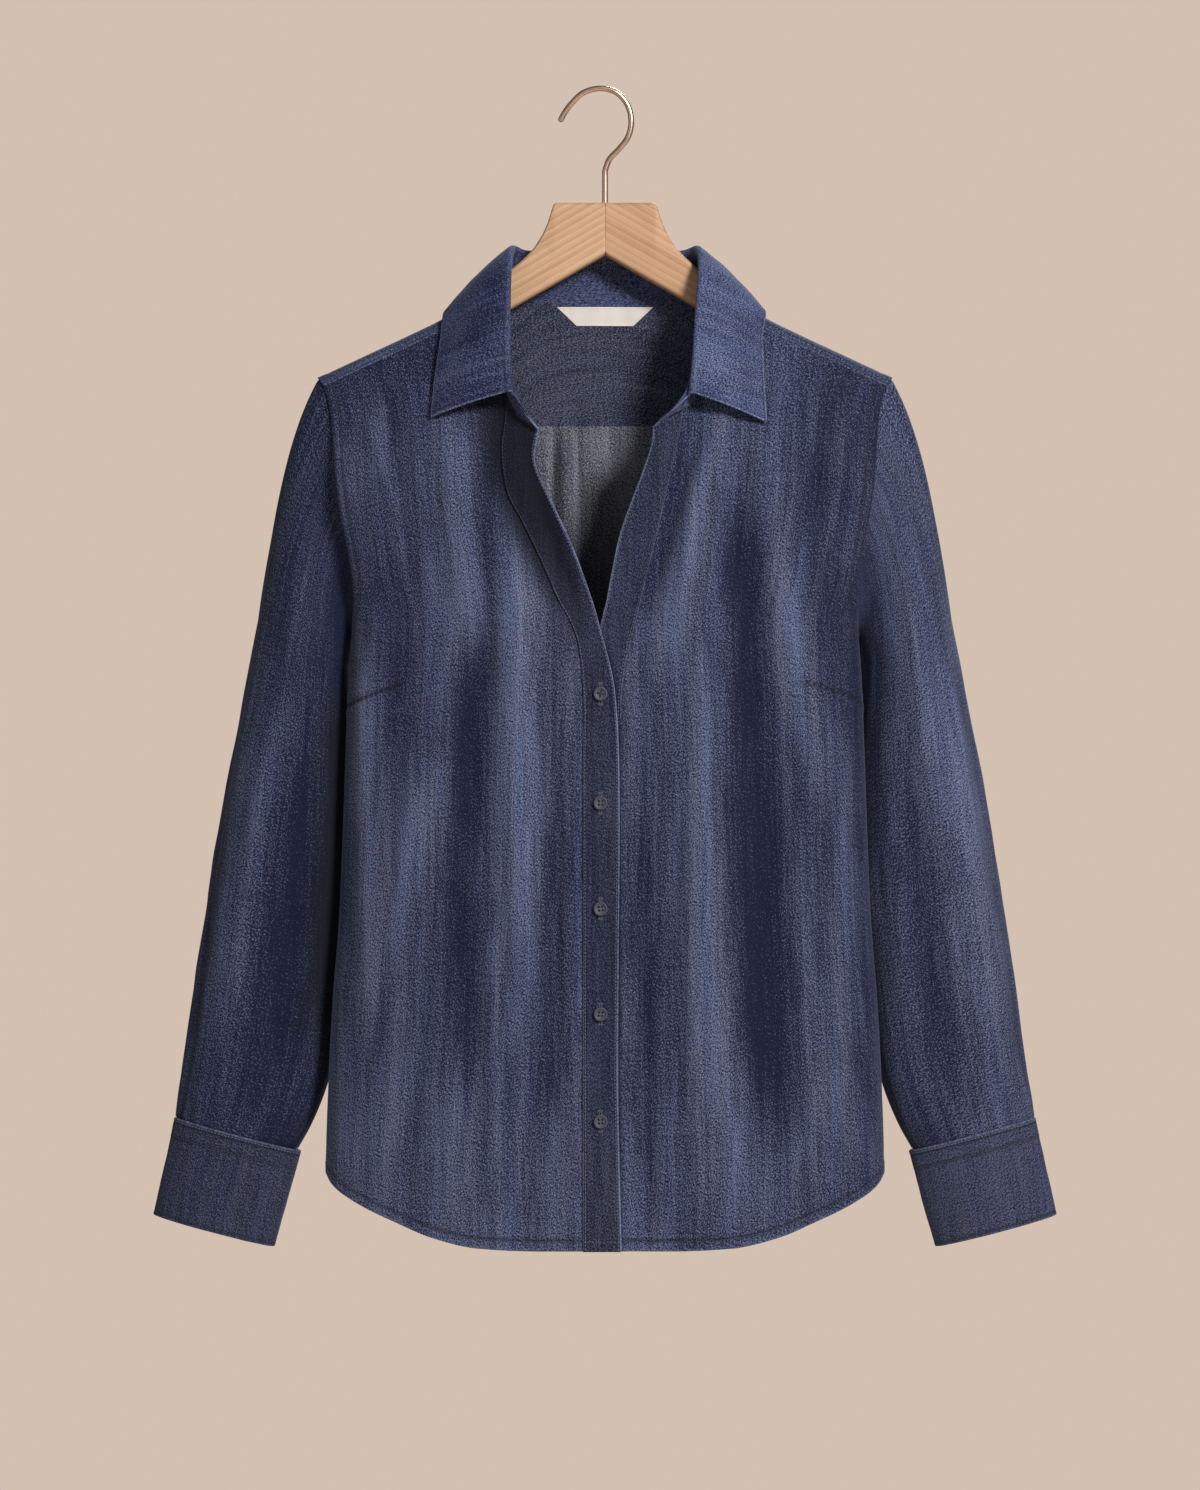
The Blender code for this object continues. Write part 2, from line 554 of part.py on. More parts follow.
def build_band(side, material, collection):
    """The folded band of one front, from the hem to the neck seam."""
    out = TOP_LAYER if side == RIGHT else 0.0
    rows = []
    for free_x, free_z, seam_x, seam_z in band_rows(side)[:-1]:
        rows.append([body_point(free_x + (seam_x - free_x) * share, free_z + (seam_z - free_z) * share,
                                FRONT, side, out) for share in (0.0, 0.5, 1.0)])
    rows.append([body_point(x, z, FRONT, side, out) for x, z in band_top(side)])
    name = "front_band_right" if side == RIGHT else "front_band_left"
    return grid_object(name, rows, BAND_CLOTH, material, collection, flip=(side == RIGHT))


def build_back(material, collection, columns=19, high_rows=6):
    """The back below the yoke, in one piece from side seam to side seam."""
    right = outer_edge(BAND_LOW_ROWS, high_rows, YOKE_SEAM_Z - SEAM_GAP)
    across = np.linspace(-1, 1, columns)
    low_x = HEM[-1][0] * np.sin(across * math.pi / 2)
    low = [(x, hem_z(abs(x))) for x in low_x]
    high = [(x, right[-1][1]) for x in right[-1][0] * across]
    grid = coons(in_plan(low), in_plan(high), in_plan(right * (-1, 1)), in_plan(right))
    rows = [[body_point(reach(z) * math.sin(angle), z, BACK) + (0, EDGE_GAP * 0.6, 0)
             for angle, z in line] for line in grid]
    return grid_object("back", rows, CLOTH, material, collection, flip=True)


def build_yoke(material, collection):
    """The yoke in one piece: from the front yoke seams over the shoulders to the back seam.

    Columns behind the neck start at the neck seam, so their points over the shoulder are None.
    """
    stations = neck_stations(LEFT)[::-1]
    high = [FRONT_SEAM_W, *SHOULDER_TURNS]
    over = [s for s in stations if s.neck_w < SHOULDER_TURNS[-1] + 0.01]
    behind = [s for s in stations if s.neck_w > SHOULDER_TURNS[-1] + 0.01]
    edge_w = [s.neck_w for s in over][::-1]
    edge_x = [s.neck_x + EDGE_GAP * 0.4 for s in over][::-1]
    low_steps = 5
    low_neck_x = 0.092                         # x on the back seam, below the neck's corner
    low_outer_x = half_width(YOKE_SEAM_Z)
    columns = []
    for i, station in enumerate(behind):       # from the centre back, under the neck seam
        low = low_neck_x * i / len(behind)
        columns.append([None] * (len(high) - 1) + yoke_fall(station.neck_x, station.neck_w, low, low_steps))
    for share in np.linspace(0, 1, SHOULDER_STEPS + 1):
        column = []
        for w in high:
            inner_x = float(np.interp(w, edge_w, edge_x))
            column.append(over_shoulder(inner_x + (armhole_x(w) - inner_x) * share, w))
        if share < 1:
            inner_x, last_w = edge_x[-1], high[-1]
            start_x = inner_x + (armhole_x(last_w) - inner_x) * share
            low = low_neck_x + (low_outer_x - low_neck_x) * share
            column += yoke_fall(start_x, last_w, low, low_steps)[1:]
        else:
            turns = np.linspace(high[-1], armhole_turn(YOKE_SEAM_Z), low_steps + 1)[1:]
            column += [over_shoulder(armhole_x(w), w) for w in turns]
        columns.append(column)
    mirrored = [[None if point is None else point * (-1, 1, 1) for point in column]
                for column in columns[:0:-1]]
    rows = [list(row) for row in zip(*(mirrored + columns))]
    return grid_object("yoke", rows, CLOTH, material, collection)


def yoke_fall(x, w, low_x, steps):
    """Points of one yoke column from (x, w) down to the back seam."""
    low_w = turn_of(shoulder_z(abs(low_x)) - YOKE_SEAM_Z)
    return [over_shoulder(x + (low_x - x) * ease(t), w + (low_w - w) * t)
            for t in np.linspace(0, 1, steps + 1)]


# ---- collar -------------------------------------------------------------------------------------


Station = collections.namedtuple("Station", "neck_x neck_w neck top crest edge")


def neck_height(x, w):
    return shoulder_z(abs(x)) - drop_of(w)


def collar_stations():
    """Stations at even steps from the right front end to the left one."""
    rows = []
    for side in (RIGHT, LEFT):
        half = []
        for (neck_x, neck_z, top_x, top_y, top_z, crest_x, crest_y, crest_z, edge_x, edge_z,
             face) in COLLAR[side] + COLLAR_BACK:
            neck_w = face * turn_of(shoulder_z(neck_x) - neck_z)
            edge = body_point(side * edge_x, edge_z, face, side if face == FRONT else 0, FALL_LIFT)
            half.append([side * neck_x, neck_w * QUARTER_RUN, side * top_x, top_y, top_z,
                         side * crest_x, crest_y, crest_z, *edge])
        rows += half if side == RIGHT else half[::-1][1:]
    fine = spline(rows, 1200)
    found = []
    for x, run, *rest in fine[collar_picks(fine[:, 1] / QUARTER_RUN)]:
        w = run / QUARTER_RUN
        lift = (ease((-w - 1.6) / 2.5) + ease((-w - 4.6) / 2.2)) / 2
        neck = over_shoulder(x, w, RIGHT if x < 0 else LEFT, -COLLAR_CLOTH / 2 + STAND_LIFT * lift)
        found.append(Station(x, w, neck, *np.array(rest).reshape(3, 3)))
    return found


def collar_picks(turns):
    """Indices of the stations among fine samples: even ones, and closer ones over each shoulder."""
    middle = len(turns) // 2
    half = []
    for run in (np.arange(0, middle + 1), np.arange(len(turns) - 1, middle - 1, -1)):
        over = [int(run[np.argmin(np.abs(turns[run] - w))]) for w in (FRONT_SEAM_W, *SHOULDER_TURNS)]
        before = np.linspace(run[0], over[0], COLLAR_FRONT_STEPS + 1)[:-1]
        after = np.linspace(over[-1], middle, COLLAR_BACK_STEPS + 1)[1:]
        half.append([int(round(i)) for i in (*before, *over, *after)])
    return half[0] + half[1][-2::-1]


def build_stand(stations, material, collection):
    rows = []
    for station in stations:
        up = unit(station.top - station.neck)
        low, high = station.neck + up * EDGE_GAP, station.top - up * EDGE_GAP * 1.5
        belly = unit(np.array([high[0], high[1] + 0.012, 0.0])) * 0.0008
        rows.append([low, (low + high) / 2 + belly, high])
    return grid_object("collar_stand", rows, COLLAR_CLOTH, material, collection, flip=True)


def build_fall(stations, material, collection):
    rows = []
    for i, (_, _, _, top, crest, edge) in enumerate(stations):
        along = unit(stations[min(i + 1, len(stations) - 1)].crest - stations[max(i - 1, 0)].crest)
        rise = crest - top
        rise = unit(rise - along * rise.dot(along))
        out = np.cross(along, rise)
        out = unit(out) * (1 if out.dot(edge - crest) > 0 else -1)
        middle = crest - rise * ROLL_RADIUS + out * ROLL_RADIUS
        roll = [middle + ROLL_RADIUS * (rise * math.sin(a) - out * math.cos(a))
                for a in np.radians((0, 50, 95, 145))]
        leaf = edge - roll[-1]
        normal = unit(rise * leaf.dot(out) - out * leaf.dot(rise))
        row = [top + rise * EDGE_GAP] + roll
        for t in (0.18, 0.40, 0.70, 1.0):
            row.append(roll[-1] + leaf * t + normal * FALL_BULGE * 4 * t * (1 - t))
        rows.append(row)
    return grid_object("collar_fall", rows, COLLAR_CLOTH, material, collection, flip=True)


# ---- sleeves and cuffs --------------------------------------------------------------------------


def section_point(row, angle, out=0.0):
    """A point of a tilted oval section: angle 0 at its outer side, a quarter turn at its front."""
    outer_x, outer_z, inner_x, inner_z, centre_y, half_depth = row
    outer, inner = np.array([outer_x, 0, outer_z]), np.array([inner_x, 0, inner_z])
    across = outer - inner
    half = np.linalg.norm(across) / 2
    point = (outer + inner) / 2 + unit(across) * (half + out) * math.cos(angle)
    return point + np.array([0, centre_y - (half_depth + out) * math.sin(angle), 0])


def sleeve_ring(along, angles, out=0.0):
    """One ring of the sleeve below the cap: along is 0 at its first section and 1 at the cuff's seam."""
    section = spline(SLEEVE, [along])[0]
    return [section_point(section, angle, sleeve_fold(angle, along) + out) for angle in angles]


def sleeve_rows(angles):
    """Rows of points down the sleeve at +X, from the armhole to the cuff's seam."""
    turns = armhole_turn(UNDERARM_Z)
    sections = np.array(SLEEVE)
    axis = unit(np.array([0.13, 0.0, -0.99]))
    cap = []
    for t in (0.0, 0.07, 0.18, 0.34, 0.54, 0.77):
        row = []
        for angle in angles:
            w = -turns * angle / math.pi
            start_x = armhole_x(w)
            start = over_shoulder(start_x, w)
            leave = (np.array(SLEEVE_LEAVES["top"]) * max(math.cos(angle), 0) ** 2
                     + np.array(SLEEVE_LEAVES["under"]) * min(math.cos(angle), 0) ** 2
                     + np.array(SLEEVE_LEAVES["front"]) * max(math.sin(angle), 0) ** 2
                     + np.array(SLEEVE_LEAVES["back"]) * min(math.sin(angle), 0) ** 2)
            start = start + unit(leave) * EDGE_GAP * (1.1 - min(math.cos(angle), 0))
            end = section_point(sections[0], angle)
            arrive = axis * np.linalg.norm(end - start) * 1.05
            row.append(start * (1 + 2 * t) * (1 - t) ** 2 + end * t * t * (3 - 2 * t)
                       + leave * t * (1 - t) ** 2 - arrive * t * t * (1 - t))
        cap.append(row)
    return cap + [sleeve_ring(along, angles) for along in np.linspace(0, 1, SLEEVE_STEPS)]


def sleeve_fold(angle, along):
    """How far the sleeve's folds move its wall at a place, 0 at the first section and 1 at the cuff."""
    total = 0.0
    for degrees, start, end, width, height in SLEEVE_FOLDS:
        off = (math.degrees(angle) - degrees + 180) % 360 - 180
        fade = ease((along - start + 0.2) / 0.3) * ease((end + 0.1 - along) / 0.3)
        total += height * fade * math.exp(-((off / width) ** 2))
    return total * ease((1 - along) / 0.06 + 0.2)


def sleeve_angles():
    """Angles of the sleeve's grid, closer together at its outer side than under the arm."""
    turns = np.linspace(-1, 1, SLEEVE_AROUND + 1)[:-1]
    return [-math.pi * math.copysign(abs(t) ** 1.15, t) for t in turns]


def build_sleeve(side, material, collection):
    rows = [[point * (side, 1, 1) for point in row] for row in sleeve_rows(sleeve_angles())]
    name = "sleeve_right" if side == RIGHT else "sleeve_left"
    return grid_object(name, rows, CLOTH, material, collection, ring=True, flip=(side == LEFT))


CUFF_START = math.radians(CUFF_START_DEG)
CUFF_TURN = CUFF_OVERLAP / WRIST_RADIUS    # the angle that the overlap takes
OVERLAP_LIFT = CUFF_CLOTH + 0.0007         # of the outer end over the inner one


def build_cuff(side, material, collection, around=26):
    """An interlined cuff: a strip once round the wrist, its outer end lying over its inner one."""
    rows = []
    for section in spline(CUFF, 4):
        row = []
        for t in np.linspace(0, 1, around):
            angle = CUFF_START + (2 * math.pi + CUFF_TURN) * t
            lift = OVERLAP_LIFT * ease((t - 0.62) / 0.2)
            row.append(section_point(section, angle, lift) * (side, 1, 1))
        rows.append(row)
    name = "cuff_right" if side == RIGHT else "cuff_left"
    return grid_object(name, rows, CUFF_CLOTH, material, collection, flip=(side == RIGHT))


def build_sleeve_placket(side, material, collection):
    """The narrow strip over the sleeve's slit, above the cuff's opening, on the sleeve's own grid."""
    angles = sleeve_angles()
    back = [angles[SLEEVE_AROUND // 2 + k] for k in PLACKET_COLUMNS][::-1]
    out = CLOTH + EDGE_GAP * 0.6
    rings = [sleeve_ring(along, back, out) for along in np.linspace(0, 1, SLEEVE_STEPS)[-4:]]
    rings[-1] = [high + (low - high) * 0.85 for high, low in zip(rings[-2], rings[-1])]
    rows = [[point * (side, 1, 1) for point in ring] for ring in rings]
    name = "sleeve_placket_right" if side == RIGHT else "sleeve_placket_left"
    return grid_object(name, rows, CLOTH, material, collection, flip=(side == RIGHT))


# ---- buttons and label --------------------------------------------------------------------------


def build_button(name, point, normal, material, collection):
    """A turned button: a flat disc with a raised rim, its back on the cloth."""
    radius = BUTTON_DIAMETER / 2
    profile = [(0.0, BUTTON_THICKNESS * 0.66), (radius * 0.68, BUTTON_THICKNESS * 0.70),
               (radius * 0.82, BUTTON_THICKNESS), (radius, BUTTON_THICKNESS * 0.62),
               (radius * 0.85, 0.0), (0.0, 0.0)]
    mesh = bpy.data.meshes.new(name)
    mesh.from_pydata([(r, 0.0, h) for r, h in profile], [(i, i + 1) for i in range(len(profile) - 1)], [])
    obj = add_object(name, mesh, material, collection)
    turn = obj.modifiers.new("Turn", "SCREW")
    turn.steps = turn.render_steps = 10
    turn.use_merge_vertices = True
    turn.merge_threshold = 0.00001
    axis = Vector(normal).normalized()
    seat = Vector(point) + axis * SEAM_GAP * 1.4
    rotation = axis.to_track_quat("Z", "Y").to_matrix().to_4x4()
    obj.matrix_world = Matrix.Translation(Vector((CENTRE_X, 0, DATUM_Z)) + seat) @ rotation
    return obj


def surface_normal(at, u, v, step=0.003):
    """Outward normal of a surface function that takes two coordinates."""
    across = at(u + step, v) - at(u - step, v)
    up = at(u, v + step) - at(u, v - step)
    return unit(np.cross(across, up))


def build_front_buttons(material, collection):
    for i, z in enumerate(BUTTON_HEIGHTS):
        point = body_point(BUTTON_X, z, FRONT, RIGHT, TOP_LAYER)
        normal = surface_normal(lambda u, v: body_point(u, v, FRONT, RIGHT), BUTTON_X, z)
        build_button(f"front_button_{i + 1}", point, normal, material, collection)


def build_cuff_button(side, material, collection):
    """The button on the cuff's outer end, at the back of the wrist."""
    section = spline(CUFF, 3)[1]
    angle = CUFF_START + CUFF_TURN * 0.45
    point = section_point(section, angle, OVERLAP_LIFT)
    ahead = section_point(section, angle + 0.05) - section_point(section, angle - 0.05)
    down = np.array([0.21, 0.0, -0.98])
    normal = unit(np.cross(ahead, down))
    normal = normal if normal[1] > 0 else -normal
    name = "cuff_button_right" if side == RIGHT else "cuff_button_left"
    build_button(name, point * (side, 1, 1), normal * (side, 1, 1), material, collection)


def build_label(material, collection):
    """The blank label on the yoke's inside, under the back neck seam."""
    (high, wide), (low, narrow) = LABEL
    rows = []
    for t in (0.0, 1.0):
        z, half = high + (low - high) * t, wide + (narrow - wide) * t
        rows.append([body_point(half * u, z, BACK, 0, -CLOTH - SEAM_GAP)
                     for u in np.linspace(-1, 1, 7)])
    return grid_object("neck_label", rows, 0.0010, material, collection)


# ---- hanger -------------------------------------------------------------------------------------


def hanger_stations():
    """(x, top_z, bottom_z) along one arm, from the middle to the rounded end."""
    seated = [(x, shoulder_z(x) - CLOTH - HANGER_SEAT)
              for x in (0.0785, 0.0865, 0.0950, 0.1045, 0.1140, 0.1270, 0.1400, 0.1550, 0.1700, 0.1800)]
    rows = list(HANGER_NECK) + seated
    return [(x, top, HANGER_APEX_Z - HANGER_LOWER_SLOPE * x) for x, top in rows] + list(HANGER_TIP)


def hanger_section(x, top, bottom):
    """A flat board's section with rounded edges, as points round it."""
    half = HANGER_THICKNESS / 2
    edge = min(HANGER_EDGE, (top - bottom) * 0.45)
    corner = [(half - edge, 0.0), (half - edge * 0.29, edge * 0.29), (half, edge)]
    right = [(y, top - drop) for y, drop in corner]
    right += [(y, bottom + drop) for y, drop in reversed(corner)]
    return [(x, y, z) for y, z in right] + [(x, -y, z) for y, z in reversed(right)]


def build_hanger(material, collection, cutters):
    """The two arms of the hanger, mitred at the middle and bored for the hook's shank."""
    drill = cylinder_cutter("hook_bore", WIRE_RADIUS + BORE_CLEARANCE, cutters)
    for side, name in ((RIGHT, "hanger_arm_right"), (LEFT, "hanger_arm_left")):
        stations = hanger_stations()
        stations[0] = (SEAM_GAP / 2, *stations[0][1:])
        work = bmesh.new()
        rings = [[work.verts.new((side * x, y, z)) for x, y, z in hanger_section(*row)]
                 for row in stations]
        for low, high in zip(rings, rings[1:]):
            for k in range(len(low)):
                n = (k + 1) % len(low)
                work.faces.new((low[k], low[n], high[n], high[k]))
        work.faces.new(rings[0])
        work.faces.new(rings[-1])
        bmesh.ops.recalc_face_normals(work, faces=work.faces)
        mesh = bpy.data.meshes.new(name)
        work.to_mesh(mesh)
        work.free()
        arm = add_object(name, mesh, material, collection)
        cut = arm.modifiers.new("Bore", "BOOLEAN")
        cut.operation = "DIFFERENCE"
        cut.object = drill


def hide_cutter(obj, cutters):
    cutters.objects.link(obj)
    obj.hide_render = True
    obj.display_type = "WIRE"
    return obj


def cylinder_cutter(name, radius, cutters):
    work = bmesh.new()
    length = SHANK_DEPTH + 0.012
    bmesh.ops.create_cone(work, cap_ends=True, segments=12, radius1=radius, radius2=radius, depth=length)
    mesh = bpy.data.meshes.new(name)
    work.to_mesh(mesh)
    work.free()
    obj = bpy.data.objects.new(name, mesh)
    obj.location = (CENTRE_X, 0, DATUM_Z + HANGER_TOP_Z - SHANK_DEPTH - BORE_CLEARANCE + length / 2)
    return hide_cutter(obj, cutters)


def build_hook(material, collection):
    """The wire hook, with its shank in the wood."""
    points = spline(HOOK[2:], 19)
    route = [HOOK[0], HOOK[1]] + [tuple(p) for p in points]
    curve = bpy.data.curves.new("hanger_hook", "CURVE")
    curve.dimensions = "3D"
    curve.bevel_depth = WIRE_RADIUS
    curve.bevel_resolution = 2
    curve.use_fill_caps = True
    run = curve.splines.new("POLY")
    run.points.add(len(route) - 1)
    for point, (x, z) in zip(run.points, route):
        point.co = (x, 0, z, 1)
    obj = bpy.data.objects.new("hanger_hook", curve)
    obj.location = (CENTRE_X, 0, DATUM_Z)
    curve.materials.append(material)
    collection.objects.link(obj)
    return obj


# ---- the whole ----------------------------------------------------------------------------------


def build():
    clear_scene()
    parts = new_collection("blouse_on_wooden_hanger")
    cutters = new_collection("cutters")
    cutters.hide_render = True
    paint = {name: material_for(name) for name in COLOURS}
    cloth = paint["chambray"]
    for side in (RIGHT, LEFT):
        build_front(side, cloth, parts)
        build_band(side, cloth, parts)
        build_sleeve(side, cloth, parts)
        build_cuff(side, cloth, parts)
        build_sleeve_placket(side, cloth, parts)
        build_cuff_button(side, paint["button"], parts)
    build_back(cloth, parts)
    build_yoke(cloth, parts)
    stations = collar_stations()
    build_stand(stations, cloth, parts)
    build_fall(stations, cloth, parts)
    build_front_buttons(paint["button"], parts)
    build_label(paint["label"], parts)
    build_hanger(paint["wood"], parts, cutters)
    build_hook(paint["hook_metal"], parts)


build()
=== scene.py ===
"""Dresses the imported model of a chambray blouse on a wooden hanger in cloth, seams and finishes.

Tables are in metres from the blouse's centre line and the hook's zero height, as in the solids.
The wearer's front faces -Y, so the wearer's right is at -X.
"""

import math

import bmesh
import bpy
import numpy as np
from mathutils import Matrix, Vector


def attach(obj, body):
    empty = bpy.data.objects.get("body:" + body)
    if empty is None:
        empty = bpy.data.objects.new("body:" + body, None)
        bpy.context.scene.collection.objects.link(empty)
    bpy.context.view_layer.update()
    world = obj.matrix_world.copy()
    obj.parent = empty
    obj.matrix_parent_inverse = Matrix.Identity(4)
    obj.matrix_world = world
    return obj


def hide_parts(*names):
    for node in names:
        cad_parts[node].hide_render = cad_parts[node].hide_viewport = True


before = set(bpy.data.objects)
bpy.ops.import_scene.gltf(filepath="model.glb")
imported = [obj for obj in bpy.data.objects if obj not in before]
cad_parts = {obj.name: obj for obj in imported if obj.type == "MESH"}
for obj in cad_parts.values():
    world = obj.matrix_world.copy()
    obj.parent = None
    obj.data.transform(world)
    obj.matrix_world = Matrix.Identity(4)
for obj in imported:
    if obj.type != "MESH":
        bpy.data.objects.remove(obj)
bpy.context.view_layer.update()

# ---- sizes --------------------------------------------------------------------------------------

CENTRE = np.array([0.0036, 0.0, -0.0012])   # tables' zero in the model's frame
RIGHT, LEFT = -1, 1
FRONT, BACK = -1, 1

CLOTH = 0.0009             # one layer of chambray
RIM_SHARE = 0.4            # how far a wall's rounded rim stands out, of its thickness
BAND_CLOTH = 0.0017        # folded front band
CUFF_CLOTH = 0.0022
COLLAR_CLOTH = 0.0016
RIDGE_RADIUS = 0.0115      # cloth's rounding over the hanger
FALL_DEPTH = 0.20          # height over which the body fills out below the hanger
BODY_POWER = 2.6
SHOULDER_POWER = 10.0
ARMHOLE_SPREAD = 0.05
UNDERARM_Z = -0.385
YOKE_SEAM_Z = -0.241
FORWARD_SEAM_DROP = 0.0085
V_LIFT, V_LIFT_REACH, V_LIFT_TOP_Z = 0.0075, 0.014, -0.190
V_TROUGH = 0.0060
V_TROUGH_OFFSET = {RIGHT: 0.034, LEFT: 0.030}
UNDER_LAYER = 0.0013       # how far the left front lies below the right one at the centre
TOP_LAYER = 0.0009         # how far the right band lies above its panel
BAND_LIFT = {RIGHT: TOP_LAYER, LEFT: 0.0004}
OPEN_NECK_Z = -0.400
STAND_LIFT = 0.0042
ROLL_RADIUS = 0.0029
FALL_LIFT = 0.0045
FALL_BULGE = 0.0035
CUFF_OVERLAP, WRIST_RADIUS = 0.020, 0.033
CUFF_START = math.radians(-112)
CUFF_LIFT = 0.0008         # of the cuff's outside over its sections
OVERLAP_LIFT = CUFF_CLOTH + 0.0007

HANGER_THICKNESS = 0.014
HANGER_APEX_Z, HANGER_LOWER_SLOPE = -0.1170, 0.5765
HANGER_SEAT = 0.0023       # wood's top edge below the cloth's outside
HANGER_EDGE = 0.0035
WIRE_RADIUS, WIRE_SIDES = 0.0021, 24

BUTTON_RADIUS, BUTTON_SIDES = 0.005, 40
BUTTON_SEAT = 0.0005       # of a button's back above the band
BUTTON_THREAD = 0.00020    # radius
BUTTON_HEIGHTS = (-0.4330, -0.5108, -0.5859, -0.6608, -0.7371)
BUTTON_TURNS = (0.55, 0.0, 0.12, -0.08, 0.05)
BUTTON_X = -0.0032
BUTTONHOLE_LENGTH, BUTTONHOLE_WIDTH = 0.0150, 0.0026
BUTTONHOLE_PITCH, BUTTONHOLE_STITCH = 0.00052, (0.0011, 0.00024)   # length and radius
LABEL_CLOTH, LABEL_GAP = 0.0007, 0.00045
LABEL_EDGE_STITCH, LABEL_STITCH = 0.0011, (0.0016, 0.00016)

FOLD_DEPTH, SMALL_FOLD_DEPTH = 1.25, 1.7   # deeper than in the plain solids
STITCH_PITCH, STITCH_LENGTH, STITCH_RADIUS = 0.0025, 0.0019, 0.00022
STITCH_LIFT = 0.0001       # of a thread's middle above the cloth
EDGE_STITCH = 0.0016       # topstitch's distance from a folded edge
HEM_DEPTH = 0.0075
HEM_STITCH = 0.0065        # of the hem's thread from the lower edge
ARMHOLE_STITCH = 0.0065    # topstitch's distance from the armhole seam
TWIN_STITCH = 0.0055       # between the two rows of a twin seam
CUFF_SECOND_ROW = 0.0125
STAND_TOP_STITCH = 0.0040

HALF_WIDTH = (  # z, half_width
    (-0.2050, 0.2066), (-0.2123, 0.2017), (-0.2383, 0.1960), (-0.2786, 0.1930),
    (-0.3074, 0.1890), (-0.3362, 0.1832), (-0.3650, 0.1805), (-0.3850, 0.1820),
    (-0.4226, 0.1848), (-0.4802, 0.1870), (-0.5378, 0.1890), (-0.5954, 0.1915),
    (-0.6530, 0.1960), (-0.7100, 0.1990), (-0.7760, 0.2009), (-0.8300, 0.2009),
)
SHOULDER_LINE = (  # x, z of the ridge over the hanger's top edge
    (0.0000, -0.1000), (0.0400, -0.1060), (0.0620, -0.1220), (0.0785, -0.1335),
    (0.0950, -0.1470), (0.1140, -0.1610), (0.1400, -0.1740), (0.1700, -0.1880),
    (0.2066, -0.2050), (0.2200, -0.2110),
)
FULLNESS = {  # z, distance of the body's face from the hanger's plane
    FRONT: ((-0.10, 0.0440), (-0.30, 0.0470), (-0.45, 0.0500), (-0.60, 0.0550), (-0.83, 0.0600)),
    BACK: ((-0.10, 0.0250), (-0.25, 0.0280), (-0.40, 0.0310), (-0.60, 0.0360), (-0.83, 0.0400)),
}
HEM = (  # x, z
    (0.0000, -0.8290), (0.0500, -0.8290), (0.0900, -0.8272), (0.1230, -0.8200),
    (0.1500, -0.8090), (0.1780, -0.7960), (0.1960, -0.7835), (0.2009, -0.7760),
)
BAND = {
    RIGHT: (  # free_x, free_z, seam_x, seam_z, from the neck seam down
        (-0.0472, -0.2436, -0.0689, -0.2120), (-0.0500, -0.2560, -0.0712, -0.2380),
        (-0.0506, -0.2650, -0.0735, -0.2570), (-0.0470, -0.2780, -0.0700, -0.2870),
        (-0.0371, -0.2987, -0.0596, -0.3085), (-0.0283, -0.3175, -0.0505, -0.3270),
        (-0.0194, -0.3383, -0.0415, -0.3470), (-0.0122, -0.3586, -0.0335, -0.3650),
        (-0.0077, -0.3721, -0.0265, -0.3770), (-0.0033, -0.3881, -0.0205, -0.3910),
        (0.0004, -0.4015, -0.0180, -0.4030), (0.0055, -0.4230, -0.0158, -0.4240),
        (0.0080, -0.4460, -0.0150, -0.4460), (0.0095, -0.4800, -0.0155, -0.4800),
        (0.0097, -0.5500, -0.0155, -0.5500), (0.0090, -0.6250, -0.0155, -0.6250),
        (0.0085, -0.7000, -0.0155, -0.7000), (0.0095, -0.7600, -0.0155, -0.7600),
        (0.0112, -0.8290, -0.0155, -0.8290),
    ),
    LEFT: (
        (0.0345, -0.2431, 0.0558, -0.2268), (0.0335, -0.2540, 0.0535, -0.2440),
        (0.0274, -0.2736, 0.0489, -0.2648), (0.0205, -0.2920, 0.0437, -0.2868),
        (0.0114, -0.3175, 0.0378, -0.3140), (0.0055, -0.3442, 0.0304, -0.3440),
        (0.0011, -0.3677, 0.0240, -0.3710), (-0.0033, -0.3852, 0.0190, -0.3910),
        (-0.0079, -0.4080, 0.0138, -0.4130), (-0.0128, -0.4370, 0.0112, -0.4380),
        (-0.0148, -0.4700, 0.0108, -0.4700), (-0.0150, -0.5500, 0.0108, -0.5500),
        (-0.0150, -0.6250, 0.0108, -0.6250), (-0.0150, -0.7000, 0.0108, -0.7000),
        (-0.0150, -0.7600, 0.0108, -0.7600), (-0.0150, -0.8290, 0.0108, -0.8290),
    ),
}
